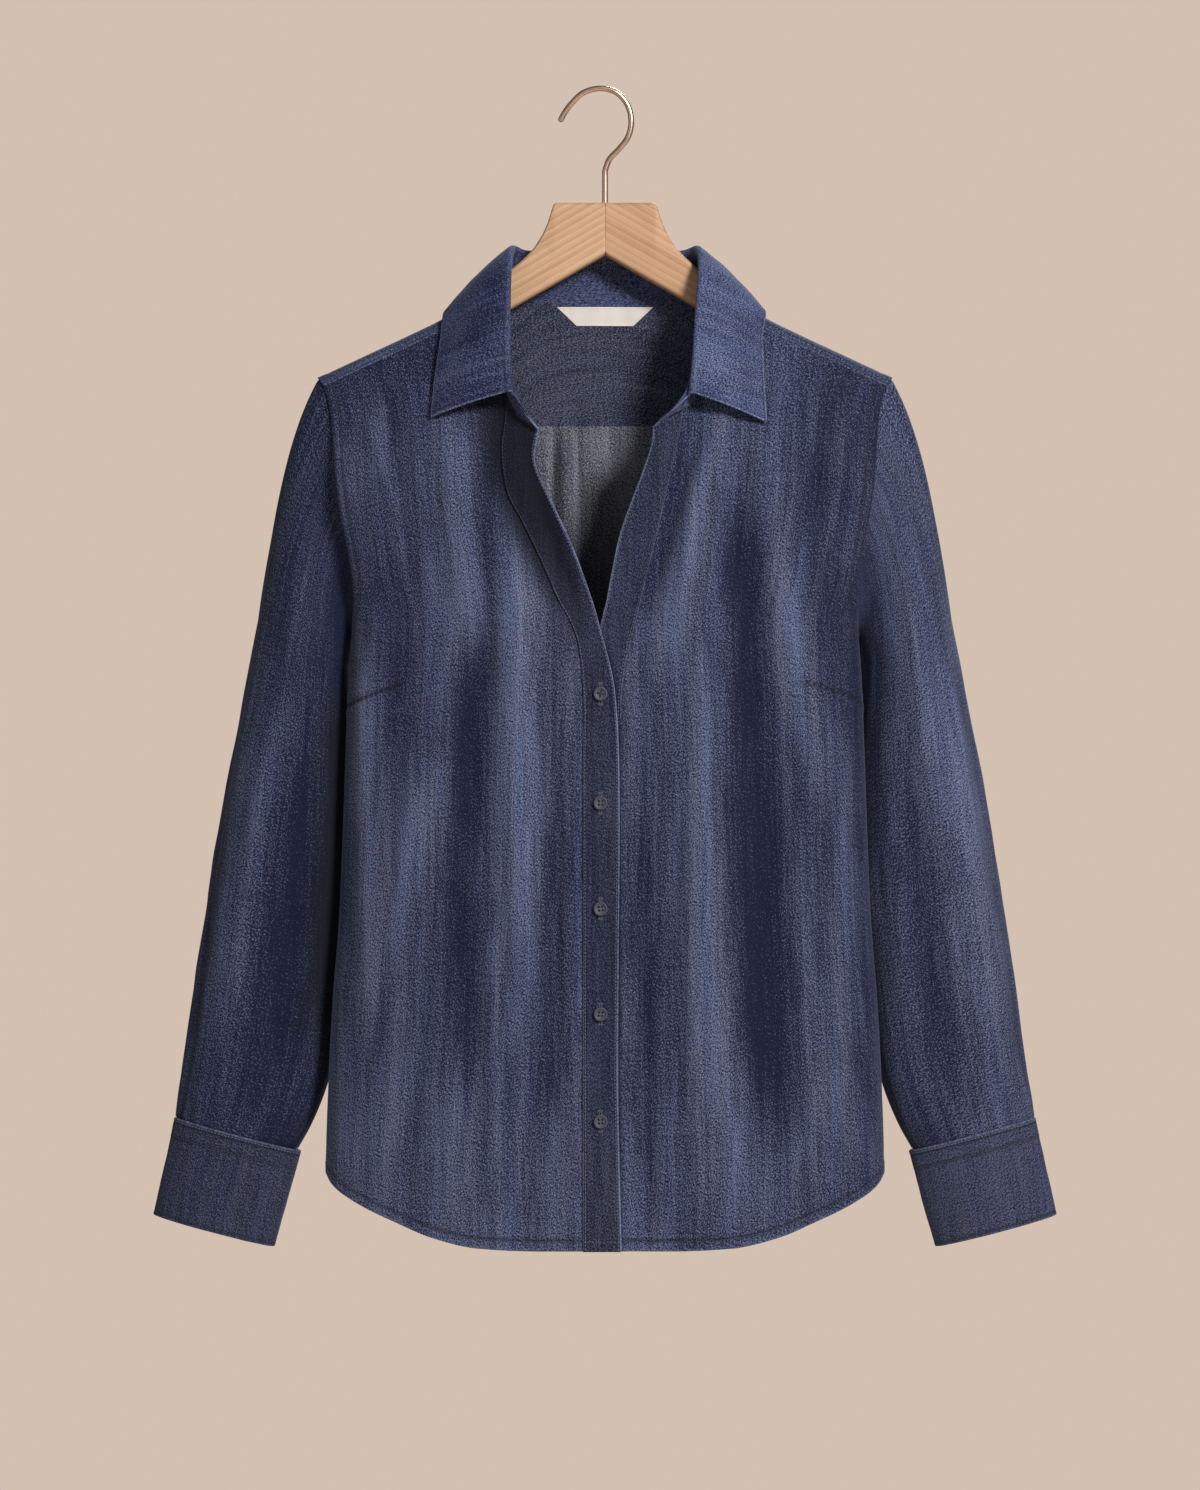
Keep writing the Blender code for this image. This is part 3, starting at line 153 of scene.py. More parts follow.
BODY_FOLDS = (  # face, x0, z0, x1, z1, half_width, height
    (FRONT, -0.112, -0.235, -0.098, -0.390, 0.013, 0.0045),
    (FRONT, -0.066, -0.350, -0.060, -0.640, 0.014, 0.0045),
    (FRONT, -0.132, -0.500, -0.165, -0.640, 0.015, 0.0040),
    (FRONT, -0.150, -0.350, -0.150, -0.470, 0.013, -0.0035),
    (FRONT, -0.095, -0.410, -0.100, -0.540, 0.013, -0.0050),
    (FRONT, -0.106, -0.560, -0.100, -0.700, 0.014, -0.0045),
    (FRONT, -0.035, -0.500, -0.042, -0.710, 0.011, -0.0035),
    (FRONT, 0.074, -0.250, 0.042, -0.400, 0.011, 0.0045),
    (FRONT, 0.068, -0.430, 0.068, -0.690, 0.014, 0.0050),
    (FRONT, 0.126, -0.350, 0.152, -0.500, 0.014, 0.0045),
    (FRONT, 0.170, -0.510, 0.168, -0.740, 0.014, 0.0040),
    (FRONT, 0.099, -0.320, 0.100, -0.450, 0.015, -0.0060),
    (FRONT, 0.108, -0.480, 0.116, -0.720, 0.018, -0.0060),
    (FRONT, 0.024, -0.540, 0.030, -0.790, 0.010, -0.0035),
    (BACK, -0.120, -0.270, -0.105, -0.700, 0.017, 0.0060),
    (BACK, -0.055, -0.300, -0.060, -0.780, 0.015, -0.0050),
    (BACK, 0.010, -0.260, 0.004, -0.740, 0.016, 0.0060),
    (BACK, 0.070, -0.330, 0.064, -0.800, 0.015, -0.0055),
    (BACK, 0.130, -0.290, 0.142, -0.690, 0.017, 0.0055),
)
SMALL_FOLDS = (  # face, x0, z0, x1, z1, half_width, height: too fine for the solids
    (FRONT, -0.169, -0.240, -0.150, -0.300, 0.0050, 0.0012),
    (FRONT, -0.155, -0.225, -0.140, -0.330, 0.0045, -0.0012),
    (FRONT, -0.142, -0.215, -0.128, -0.300, 0.0050, 0.0010),
    (FRONT, 0.158, -0.225, 0.148, -0.300, 0.0050, -0.0012),
    (FRONT, 0.172, -0.235, 0.160, -0.320, 0.0045, 0.0012),
    (FRONT, 0.128, -0.205, 0.118, -0.290, 0.0055, 0.0010),
    (FRONT, 0.098, -0.270, 0.090, -0.350, 0.0050, -0.0010),
    (FRONT, -0.088, -0.270, -0.084, -0.420, 0.0060, -0.0018),
    (FRONT, -0.054, -0.264, -0.028, -0.352, 0.0090, -0.0032),
    (FRONT, 0.061, -0.262, 0.033, -0.360, 0.0048, -0.0026),
    (FRONT, 0.062, -0.300, 0.050, -0.420, 0.0050, 0.0014),
    (FRONT, -0.028, -0.420, -0.034, -0.520, 0.0050, 0.0012),
    (FRONT, 0.018, -0.430, 0.022, -0.540, 0.0045, 0.0011),
    (FRONT, -0.176, -0.400, -0.172, -0.620, 0.0070, 0.0022),
    (FRONT, -0.186, -0.420, -0.184, -0.700, 0.0060, -0.0020),
    (FRONT, 0.180, -0.400, 0.180, -0.560, 0.0060, -0.0018),
    (FRONT, 0.140, -0.560, 0.146, -0.730, 0.0070, 0.0018),
    (FRONT, 0.050, -0.600, 0.056, -0.800, 0.0060, -0.0014),
    (FRONT, 0.086, -0.640, 0.090, -0.800, 0.0060, 0.0014),
    (FRONT, -0.080, -0.600, -0.078, -0.790, 0.0065, 0.0016),
    (FRONT, -0.128, -0.640, -0.140, -0.790, 0.0065, -0.0014),
    (FRONT, -0.052, -0.660, -0.056, -0.810, 0.0055, -0.0014),
    (FRONT, -0.150, -0.500, -0.160, -0.660, 0.0060, -0.0012),
    (FRONT, -0.152, -0.446, -0.118, -0.428, 0.0042, 0.0010),
    (FRONT, 0.156, -0.444, 0.128, -0.428, 0.0042, 0.0010),
    (BACK, -0.030, -0.250, -0.028, -0.360, 0.0045, -0.0026),
    (BACK, -0.020, -0.250, -0.018, -0.400, 0.0040, 0.0024),
    (BACK, -0.038, -0.250, -0.040, -0.330, 0.0040, 0.0018),
    (BACK, 0.046, -0.250, 0.050, -0.390, 0.0050, -0.0020),
    (BACK, -0.150, -0.330, -0.162, -0.560, 0.0080, -0.0026),
    (BACK, 0.158, -0.340, 0.170, -0.580, 0.0080, 0.0024),
    (BACK, -0.085, -0.480, -0.080, -0.800, 0.0075, 0.0024),
    (BACK, 0.100, -0.520, 0.098, -0.800, 0.0075, -0.0024),
    (BACK, 0.036, -0.500, 0.040, -0.810, 0.0070, 0.0018),
    (BACK, -0.176, -0.400, -0.174, -0.700, 0.0070, 0.0018),
    (BACK, 0.182, -0.420, 0.180, -0.720, 0.0070, -0.0018),
)
COLLAR = {
    RIGHT: (  # neck_x, neck_z, top_x, top_y, top_z, crest_x, crest_y, crest_z, edge_x, edge_z, face
        (0.0472, -0.2436, 0.065, -0.048, -0.2195, 0.0664, -0.053, -0.2172, 0.1231, -0.2354, FRONT),
        (0.067, -0.22, 0.0672, -0.044, -0.193, 0.0672, -0.0492, -0.188, 0.1205, -0.206, FRONT),
        (0.0745, -0.188, 0.0684, -0.033, -0.162, 0.0668, -0.0378, -0.1555, 0.117, -0.178, FRONT),
    ),
    LEFT: (
        (0.0345, -0.2431, 0.059, -0.048, -0.221, 0.0598, -0.053, -0.2182, 0.1147, -0.239, FRONT),
        (0.0605, -0.223, 0.0622, -0.044, -0.194, 0.0618, -0.0492, -0.189, 0.113, -0.208, FRONT),
        (0.0715, -0.187, 0.0655, -0.033, -0.162, 0.0638, -0.0378, -0.1555, 0.112, -0.178, FRONT),
    ),
}
COLLAR_BACK = (
    (0.0790, -0.1560, 0.0690, -0.0180, -0.1325, 0.0655, -0.0200, -0.1262, 0.1130, -0.1610, FRONT),
    (0.0785, -0.1335, 0.0668, 0.0000, -0.1172, 0.0632, 0.0000, -0.1120, 0.1090, -0.1620, BACK),
    (0.0640, -0.1450, 0.0575, 0.0120, -0.1235, 0.0540, 0.0110, -0.1130, 0.0850, -0.1700, BACK),
    (0.0330, -0.1515, 0.0310, 0.0165, -0.1275, 0.0290, 0.0152, -0.1130, 0.0430, -0.1720, BACK),
    (0.0000, -0.1520, 0.0000, 0.0178, -0.1280, 0.0000, 0.0165, -0.1130, 0.0000, -0.1725, BACK),
)
SLEEVE = (  # outer_x, outer_z, inner_x, inner_z, centre_y, half_depth
    (0.2505, -0.3790, 0.1835, -0.4130, 0.0230, 0.0420),
    (0.2610, -0.4300, 0.1815, -0.4520, 0.0250, 0.0400),
    (0.2730, -0.4900, 0.1800, -0.5050, 0.0270, 0.0380),
    (0.2822, -0.5450, 0.1815, -0.5600, 0.0275, 0.0360),
    (0.2908, -0.6000, 0.1850, -0.6150, 0.0265, 0.0325),
    (0.2985, -0.6500, 0.1910, -0.6650, 0.0240, 0.0290),
    (0.3048, -0.6950, 0.2000, -0.7120, 0.0205, 0.0255),
    (0.3082, -0.7220, 0.2115, -0.7420, 0.0172, 0.0225),
    (0.3098, -0.7385, 0.2222, -0.7618, 0.0150, 0.0195),
)
CUFF = (
    (0.3101, -0.7390, 0.2224, -0.7623, 0.0150, 0.0195),
    (0.3152, -0.7620, 0.2285, -0.7850, 0.0145, 0.0205),
    (0.3205, -0.7850, 0.2345, -0.8080, 0.0140, 0.0210),
    (0.3252, -0.8076, 0.2412, -0.8300, 0.0135, 0.0205),
)
SLEEVE_LEAVES = {"top": (0.070, 0.000, -0.115), "front": (0.042, 0.085, -0.035),
                 "under": (0.012, 0.016, -0.030), "back": (0.050, 0.045, -0.035)}
SLEEVE_FOLDS = (  # angle_deg, start, end, half_angle_deg, height: along the sleeve, 0 cap to 1 cuff
    (60.0, 0.20, 0.85, 22.0, 0.0035), (100.0, 0.30, 0.95, 18.0, -0.0040),
    (140.0, 0.45, 1.00, 20.0, 0.0030), (-50.0, 0.25, 0.80, 22.0, 0.0035),
    (-100.0, 0.35, 0.95, 20.0, -0.0040), (-145.0, 0.50, 1.00, 20.0, 0.0030),
)
SLEEVE_SMALL_FOLDS = {  # side: angle_deg, start, end, half_angle_deg, height
    RIGHT: ((35.0, 0.05, 0.60, 8.0, 0.0016), (78.0, 0.40, 0.90, 8.0, -0.0018),
            (120.0, 0.10, 0.55, 9.0, 0.0016), (25.0, 0.55, 0.98, 8.0, -0.0016),
            (150.0, 0.30, 0.80, 8.0, -0.0015), (-75.0, 0.10, 0.70, 10.0, 0.0016),
            (-125.0, 0.20, 0.75, 9.0, 0.0016), (-30.0, 0.50, 0.95, 8.0, -0.0015)),
    LEFT: ((45.0, 0.10, 0.50, 8.0, 0.0018), (85.0, 0.05, 0.45, 9.0, 0.0018),
           (70.0, 0.50, 0.95, 8.0, -0.0020), (115.0, 0.35, 0.85, 8.0, 0.0018),
           (20.0, 0.40, 0.90, 8.0, -0.0014), (-70.0, 0.20, 0.80, 10.0, -0.0016),
           (-120.0, 0.10, 0.60, 9.0, 0.0018), (-35.0, 0.45, 0.90, 8.0, 0.0014)),
}
DARTS = {  # side: x, z from the armhole side to the tip
    RIGHT: ((-0.1868, -0.4422), (-0.1743, -0.4361), (-0.1582, -0.4302), (-0.1406, -0.4236)),
    LEFT: ((0.1828, -0.4385), (0.1750, -0.4338), (0.1567, -0.4283), (0.1368, -0.4224)),
}
HANGER_NECK = (  # x, z of the wood's top edge, from the middle to where the blouse covers it
    (0.0000, -0.0792), (0.0180, -0.0792), (0.0335, -0.0792), (0.0350, -0.0793), (0.0362, -0.0797),
    (0.0372, -0.0808), (0.0385, -0.0850), (0.0410, -0.0930), (0.0446, -0.1015), (0.0508, -0.1113),
    (0.0570, -0.1180), (0.0644, -0.1245), (0.0785, -0.1358),
)
HANGER_TIP = (  # x, top_z, bottom_z of the rounded end
    (0.1870, -0.1990, -0.2230), (0.1905, -0.2030, -0.2190), (0.1918, -0.2080, -0.2150),
)
HOOK = (  # x, z along the wire's centre line, from the shank's foot to the tip
    (0.0000, -0.1042), (0.0000, -0.0792), (0.0000, -0.0560), (0.0030, -0.0480),
    (0.0105, -0.0398), (0.0166, -0.0315), (0.0189, -0.0209), (0.0164, -0.0090),
    (0.0080, 0.0005), (-0.0036, 0.0033), (-0.0160, 0.0000), (-0.0245, -0.0080),
    (-0.0290, -0.0140), (-0.0317, -0.0190),
)
LABEL = ((-0.1530, 0.0345), (-0.1662, 0.0205))  # z, half_width

# ---- interpolation and random relief ------------------------------------------------------------


def hermite(a, b, leave, arrive, u):
    return (a * (1 + 2 * u) * (1 - u) ** 2 + b * u * u * (3 - 2 * u)
            + leave * u * (1 - u) ** 2 - arrive * u * u * (1 - u))


def smooth_table(rows):
    """A smooth function through (t, value) rows that never overshoots them (monotone cubic)."""
    t, v = np.array(sorted(rows), float).T
    step = np.diff(t)
    slope = np.diff(v) / step
    tangent = np.concatenate([[slope[0]], np.zeros(len(t) - 2), [slope[-1]]])
    for i in range(1, len(t) - 1):
        if slope[i - 1] * slope[i] > 0:
            before, after = 2 * step[i] + step[i - 1], step[i] + 2 * step[i - 1]
            tangent[i] = (before + after) / (before / slope[i - 1] + after / slope[i])

    def value(at):
        at = np.clip(at, t[0], t[-1])
        i = np.clip(np.searchsorted(t, at, side="right") - 1, 0, len(t) - 2)
        return hermite(v[i], v[i + 1], step[i] * tangent[i], step[i] * tangent[i + 1],
                       (at - t[i]) / step[i])

    return value


def run_of(points):
    """Distances along the straight runs between points."""
    return np.concatenate([[0], np.cumsum(np.linalg.norm(np.diff(points, axis=0), axis=1))])


def sampled(points, run, at):
    """Points read off at places along their run."""
    return np.stack([np.interp(at, run, column) for column in points.T], axis=1)


def along_run(points, samples):
    """Points at even distances, or at shares of the run, along straight runs."""
    p = np.array(points, float)
    run = run_of(p)
    at = np.linspace(0, run[-1], samples) if np.isscalar(samples) else np.array(samples) * run[-1]
    return sampled(p, run, at)


def spline(points, samples):
    """Points along a smooth curve through the given ones, spaced as in along_run."""
    p = np.array(points, float)
    t = np.concatenate([[0], np.cumsum(np.sqrt(np.linalg.norm(np.diff(p, axis=0), axis=1)))])
    at = np.linspace(0, t[-1], 40 * len(p))
    i = np.clip(np.searchsorted(t, at, side="right") - 1, 0, len(t) - 2)
    step = t[i + 1] - t[i]
    fine = np.stack([
        hermite(v[i], v[i + 1], step * slope[i], step * slope[i + 1], (at - t[i]) / step)
        for v, slope in ((column, np.gradient(column, t, edge_order=1)) for column in p.T)], axis=1)
    return along_run(fine, samples)


def ease(t):
    """0 below 0, 1 above 1, and a soft step between."""
    t = np.clip(t, 0.0, 1.0)
    return t * t * (3 - 2 * t)


def bell(t, width):
    return np.exp(-((t / width) ** 2))


def unit(v):
    return v / np.maximum(np.linalg.norm(v, axis=-1, keepdims=True), 1e-12)


def dot(a, b):
    return np.sum(a * b, axis=1, keepdims=True)


def crumple(u, v, size_u, size_v, seed):
    """Smooth random relief, from about -1 to 1, in patches of the given sizes."""
    slopes = np.random.default_rng(seed).normal(0, 1, (64, 64, 2))
    a, b = np.broadcast_arrays(u / size_u + 31.7, v / size_v + 17.3)
    i, j = np.floor(a).astype(int), np.floor(b).astype(int)
    a, b = a - i, b - j

    def knot(m, n):
        slope = slopes[(i + m) % 64, (j + n) % 64]
        return slope[..., 0] * (a - m) + slope[..., 1] * (b - n)

    s, t = a * a * a * (a * (a * 6 - 15) + 10), b * b * b * (b * (b * 6 - 15) + 10)
    low = knot(0, 0) * (1 - s) + knot(1, 0) * s
    high = knot(0, 1) * (1 - s) + knot(1, 1) * s
    return low * (1 - t) + high * t


def spread(n, crowd=0.0):
    """n shares from 0 to 1, closer together at both ends where crowd is near 1."""
    u = np.linspace(0, 1, n)
    return u - crowd * np.sin(2 * np.pi * u) / (2 * np.pi)


half_width = smooth_table(HALF_WIDTH)
shoulder_z = smooth_table(SHOULDER_LINE)
hem_z = smooth_table(HEM)
fullness = {face: smooth_table(rows) for face, rows in FULLNESS.items()}
free_edge_x = {side: smooth_table([(row[1], row[0]) for row in rows])
               for side, rows in BAND.items()}

# ---- the body's surface -------------------------------------------------------------------------


def reach(z):
    """Half width of the plan at a height, past the armhole edge where there is one."""
    return half_width(z) * (1 + ARMHOLE_SPREAD * ease((z - UNDERARM_Z) / 0.04))


def fold_height(x, z, face):
    """Sum of the body's folds at a place, each fading out at both ends of its run."""
    total = np.zeros(np.broadcast(x, z).shape)
    for folds, share in ((BODY_FOLDS, FOLD_DEPTH), (SMALL_FOLDS, SMALL_FOLD_DEPTH)):
        for on, x0, z0, x1, z1, width, height in folds:
            if on == face:
                along = (z0 - z) / (z0 - z1)
                fade = ease((along + 0.3) / 0.5) * ease((1.3 - along) / 0.5)
                total += share * height * fade * bell(x - (x0 + (x1 - x0) * along), width)
    return total


def limpness(x, z, face):
    """Random small waves of a hanging cloth, longer down than across."""
    seed = 11 if face == FRONT else 23
    lean = x + 0.10 * (z + 0.5) * np.sign(x + 1e-9)
    return (0.00075 * crumple(lean, z, 0.034, 0.130, seed)
            + 0.00042 * crumple(lean, z, 0.016, 0.060, seed + 1)
            + 0.00016 * crumple(x, z, 0.0075, 0.024, seed + 2))


def fade_and_painted_light(x, z, face):
    """Paler on the ridges of folds and darker in their hollows, from about -2 to 1.5: partly faded
    indigo, partly painted light and shade of the folds.
    """
    ridges = fold_height(x, z, face) / 0.0048 + limpness(x, z, face) / 0.0016
    # painted light on the wearer's right side and painted shade on the left; darker about mid
    # height and lighter near the hem
    fade = (np.clip(ridges, -1.6, 1.2) + 0.30 * ease((-x - 0.09) / 0.08)
            - 0.2 * ease((x - 0.02) / 0.05) - 0.5 * ease((x - 0.12) / 0.04)
            - 0.28 * bell(z + 0.52, 0.14) + 0.22 * ease((-0.68 - z) / 0.08))
    # on the front: painted shadow in the hollow beside the left neck edge, and painted shade on the
    # wearer's right upper front by the open neck
    if face == FRONT:
        beside = x - (0.064 - 0.044 * (-0.222 - z) / 0.174)   # the left neck edge's hollow
        open_part = ease((z + 0.41) / 0.06) * ease((-0.205 - z) / 0.02)
        fade = fade - 0.9 * bell(beside, 0.005) * open_part
        fade = fade - 0.7 * ease((-0.075 - x) / 0.05) * ease((z + 0.27) / 0.06)
        fade = fade - 0.5 * ease(-x / 0.05) * ease((z + 0.37) / 0.07)
    return fade


def painted_neck_shadow(x, z):
    """0 to 1: how much painted shadow a place takes in the hollow beside the wearer's right neck
    edge.
    """
    centre = np.interp(-z, (0.2414, 0.2764, 0.3120, 0.3470, 0.3820),
                       (-0.0625, -0.0590, -0.0480, -0.0330, -0.0180))
    width = np.interp(-z, (0.24, 0.31, 0.38), (0.0240, 0.0215, 0.0140))
    width = width * np.where(x < centre, 1.7, 1.0)
    deep = ease(1.45 - np.abs(x - centre) / width * 1.45)
    return deep * ease((z + 0.43) / 0.09) * ease((-0.200 - z) / 0.03)


def neck_lift(x, z, side):
    """How far a front stands forward beside the open neck."""
    rise = ease((z + 0.400) / 0.10) * ease((V_LIFT_TOP_Z - z) / 0.05)
    inwards = np.abs(x - free_edge_x[side](z))
    return rise * (V_LIFT * bell(inwards, V_LIFT_REACH)
                   - V_TROUGH * bell(inwards - V_TROUGH_OFFSET[side], V_LIFT_REACH))


def depth(x, z, face, side=0):
    """Distance of the body's face from the hanger's plane."""
    share = np.minimum(np.abs(x) / reach(z), 1.0)
    drop = np.maximum(shoulder_z(np.abs(x)) - z, 0.0)
    power = BODY_POWER + (SHOULDER_POWER - BODY_POWER) * ease((z + 0.36) / 0.12)
    plan = (1 - share**BODY_POWER) ** (1 / BODY_POWER)
    rounding = np.sqrt(1 - (1 - np.minimum(drop / RIDGE_RADIUS, 1.0)) ** 2)
    filling = 1 - (1 - np.minimum(drop / FALL_DEPTH, 1.0)) ** 2
    found = RIDGE_RADIUS * rounding * (1 - share**power) ** (1 / power)
    found = found + (fullness[face](z) - RIDGE_RADIUS) * filling * plan
    soft = plan * ease(drop / 0.05)
    found = found + fold_height(x, z, face) * soft + limpness(x, z, face) * soft
    if face == FRONT and side:
        found = found + neck_lift(x, z, side) * plan
        if side == LEFT:
            found = found - UNDER_LAYER * ease((0.045 - x) / 0.03)
    return found


def body_point(x, z, face, side=0, out=0.0):
    """Points on the body's outside, moved out along the surface's normal."""
    x, z = np.broadcast_arrays(np.asarray(x, float), np.asarray(z, float))

    def at(px, pz):
        return np.stack([px, face * depth(px, pz, face, side), pz], axis=-1)

    points = at(x, z)
    if np.any(out):
        step = 0.002
        across, up = at(x + step, z) - at(x - step, z), at(x, z + step) - at(x, z - step)
        points = points - face * np.asarray(out)[..., None] * unit(np.cross(across, up))
    return points


QUARTER_RUN = RIDGE_RADIUS * math.pi / 2   # length of one quarter turn over the shoulder line


def drop_of(w):
    """Height below the shoulder line after w quarter turns, which go on straight down past one."""
    turn = np.abs(w)
    rounded = RIDGE_RADIUS * (1 - np.cos(np.minimum(turn, 1) * math.pi / 2))
    return rounded + np.maximum(turn - 1, 0) * QUARTER_RUN


def turn_of(drop):
    """The inverse of drop_of."""
    rounded = np.arccos(np.clip(1 - np.maximum(drop, 0) / RIDGE_RADIUS, 0, 1)) * 2 / math.pi
    return np.where(drop <= RIDGE_RADIUS, rounded, 1 + (drop - RIDGE_RADIUS) / QUARTER_RUN)


def height_at(x, w):
    """Height of a place over the shoulder line, where w is 0. It grows down the back."""
    return shoulder_z(np.abs(x)) - drop_of(w)


def over_shoulder(x, w, side=0, out=0.0):
    """Points over the shoulder line, on the back where w is above 0 and on the front below it."""
    z = height_at(x, w)
    return np.where((w > 0)[..., None], body_point(x, z, BACK, 0, out),
                    body_point(x, z, FRONT, side, out))


def armhole_x(w):
    """Half width of the armhole edge at w, where the edge's own height sets its width."""
    x = np.full(np.shape(w), HALF_WIDTH[0][1])
    for _ in range(30):
        x = half_width(np.minimum(height_at(x, w), HALF_WIDTH[0][0]))
    return x


def armhole_turn(z):
    return turn_of(shoulder_z(half_width(z)) - z)


FRONT_SEAM_W = -float(turn_of(FORWARD_SEAM_DROP))


def arc_ratio(face):
    """Length round the body's plan for each share of its half width."""
    x = np.linspace(0, 0.9999, 400) * reach(-0.6)
    y = fullness[face](-0.6) * (1 - (x / reach(-0.6)) ** BODY_POWER) ** (1 / BODY_POWER)
    run = np.concatenate([[0], np.cumsum(np.hypot(np.diff(x), np.diff(y)))])
    return lambda share: np.interp(np.abs(share), x / reach(-0.6), run) * np.sign(share)


ROUND_PLAN = {face: arc_ratio(face) for face in (FRONT, BACK)}

# ---- cloth as grids of points -------------------------------------------------------------------


def coons(bottom, top, start, end, across, along):
    """A grid between four edges: bottom and top are sampled at across, start and end at along."""
    u, v = across[None, :, None], along[:, None, None]
    corner = ((1 - u) * (1 - v) * bottom[0] + u * (1 - v) * bottom[-1]
              + (1 - u) * v * top[0] + u * v * top[-1])
    return ((1 - u) * start[:, None] + u * end[:, None]
            + (1 - v) * bottom[None] + v * top[None] - corner)


def in_plan(points):
    """(plan angle, z) of (x, z) points."""
    x, z = np.asarray(points).T
    return np.stack([np.arcsin(np.clip(x / reach(z), -1, 1)), z], axis=1)


def steps_of(grid, around=False):
    """Vectors along the rows and up the columns of a grid."""
    if around:
        rows = np.roll(grid, -1, axis=1) - np.roll(grid, 1, axis=1)
    else:
        rows = np.gradient(grid, axis=1)
    return rows, np.gradient(grid, axis=0)


def normals_of(grid, outward, around=False):
    """Unit normals of a grid, on the side that outward points to, and that side's sign."""
    rows, columns = steps_of(grid, around)
    normal = unit(np.cross(rows, columns))
    sign = 1.0 if np.sum(normal * outward) > 0 else -1.0
    return normal * sign, sign


def edge_distances(grid):
    """Distances along the cloth from each edge: the rows' start, end or nearer one, bottom, top."""
    across = np.linalg.norm(np.diff(grid, axis=1), axis=2)
    up = np.linalg.norm(np.diff(grid, axis=0), axis=2)
    from_start = np.pad(np.cumsum(across, axis=1), ((0, 0), (1, 0)))
    from_bottom = np.pad(np.cumsum(up, axis=0), ((1, 0), (0, 0)))
    from_end = from_start[:, -1:] - from_start
    return {"start": from_start, "end": from_end, "ends": np.minimum(from_start, from_end),
            "bottom": from_bottom, "top": from_bottom[-1:] - from_bottom}


def seam_relief(distance, run, row, seed, depth_m=0.00035, pucker=0.00035):
    """A raised allowance beside a sewn edge, pulled in at its row of stitches, with puckers."""
    ripple = (crumple(run, distance, 0.0060, 0.012, seed)
              + 0.5 * crumple(run, distance, 0.0028, 0.006, seed + 1))
    raised = depth_m * ease((row + 0.0012 - distance) / 0.0012)
    pulled = -depth_m * 0.9 * bell(distance - row, 0.0009)
    return raised + pulled + pucker * ripple * bell(distance - row, 0.0065)


class Piece:
    """A sheet's grid with its normals, cloth coordinates, rubbing with painted shade, and fading
    with painted light and shade, ready for a wall.
    """

    def __init__(self, grid, outward, around=False):
        self.around = around
        self.outward = outward
        self.grid = grid
        self.normal, self.sign = normals_of(grid, outward, around)
        # rubbed paler above zero, painted shade below zero; fading mixed with painted light and
        # shade
        self.wear = np.zeros(grid.shape[:2])
        self.fade = np.zeros(grid.shape[:2])
        self.far = edge_distances(grid)
        self.uv = np.stack([self.far["start"], self.far["bottom"]], axis=-1)
        self.girth = None

    @property
    def plane(self):
        """x and z of the grid's points."""
        return self.grid[..., 0], self.grid[..., 2]

    def raise_by(self, relief):
        self.grid = self.grid + self.normal * relief[..., None]
        self.normal, self.sign = normals_of(self.grid, self.outward, self.around)

    def rub(self, distance, reach_m, amount=1.0):
        """Paler, rubbed cloth within reach_m of an edge; a negative amount paints shade there
        instead.
        """
        near = bell(distance, reach_m)
        self.wear = self.wear * (1 - near) + amount * near

    def shade_groove(self, distance, at, amount=0.3, reach_m=0.0007):
        """Painted shade along a row of stitching, where the stitches pull the cloth into a groove.
        """
        self.wear = self.wear - amount * bell(distance - at, reach_m)


def borders(piece):
    """Loops of grid indices round a piece's open edges, in the direction of its faces."""
    rows, columns = piece.grid.shape[:2]
    index = np.arange(rows * columns).reshape(rows, columns)
    if piece.around:
        return [index[0], index[-1][::-1]]
    return [np.concatenate([index[0, :-1], index[:-1, -1], index[-1, :0:-1], index[:0:-1, 0]])]


def off_edge(piece, loop):
    """Unit vectors at border points, away from the cloth's middle and along its surface."""
    rows, columns = piece.grid.shape[:2]
    i, j = loop // columns, loop % columns
    near_i = np.clip(i, 1, rows - 2)
    near_j = j if piece.around else np.clip(j, 1, columns - 2)
    aside = piece.grid[i, j] - piece.grid[near_i, near_j]
    normal = piece.normal[i, j]
    return unit(aside - normal * dot(aside, normal))


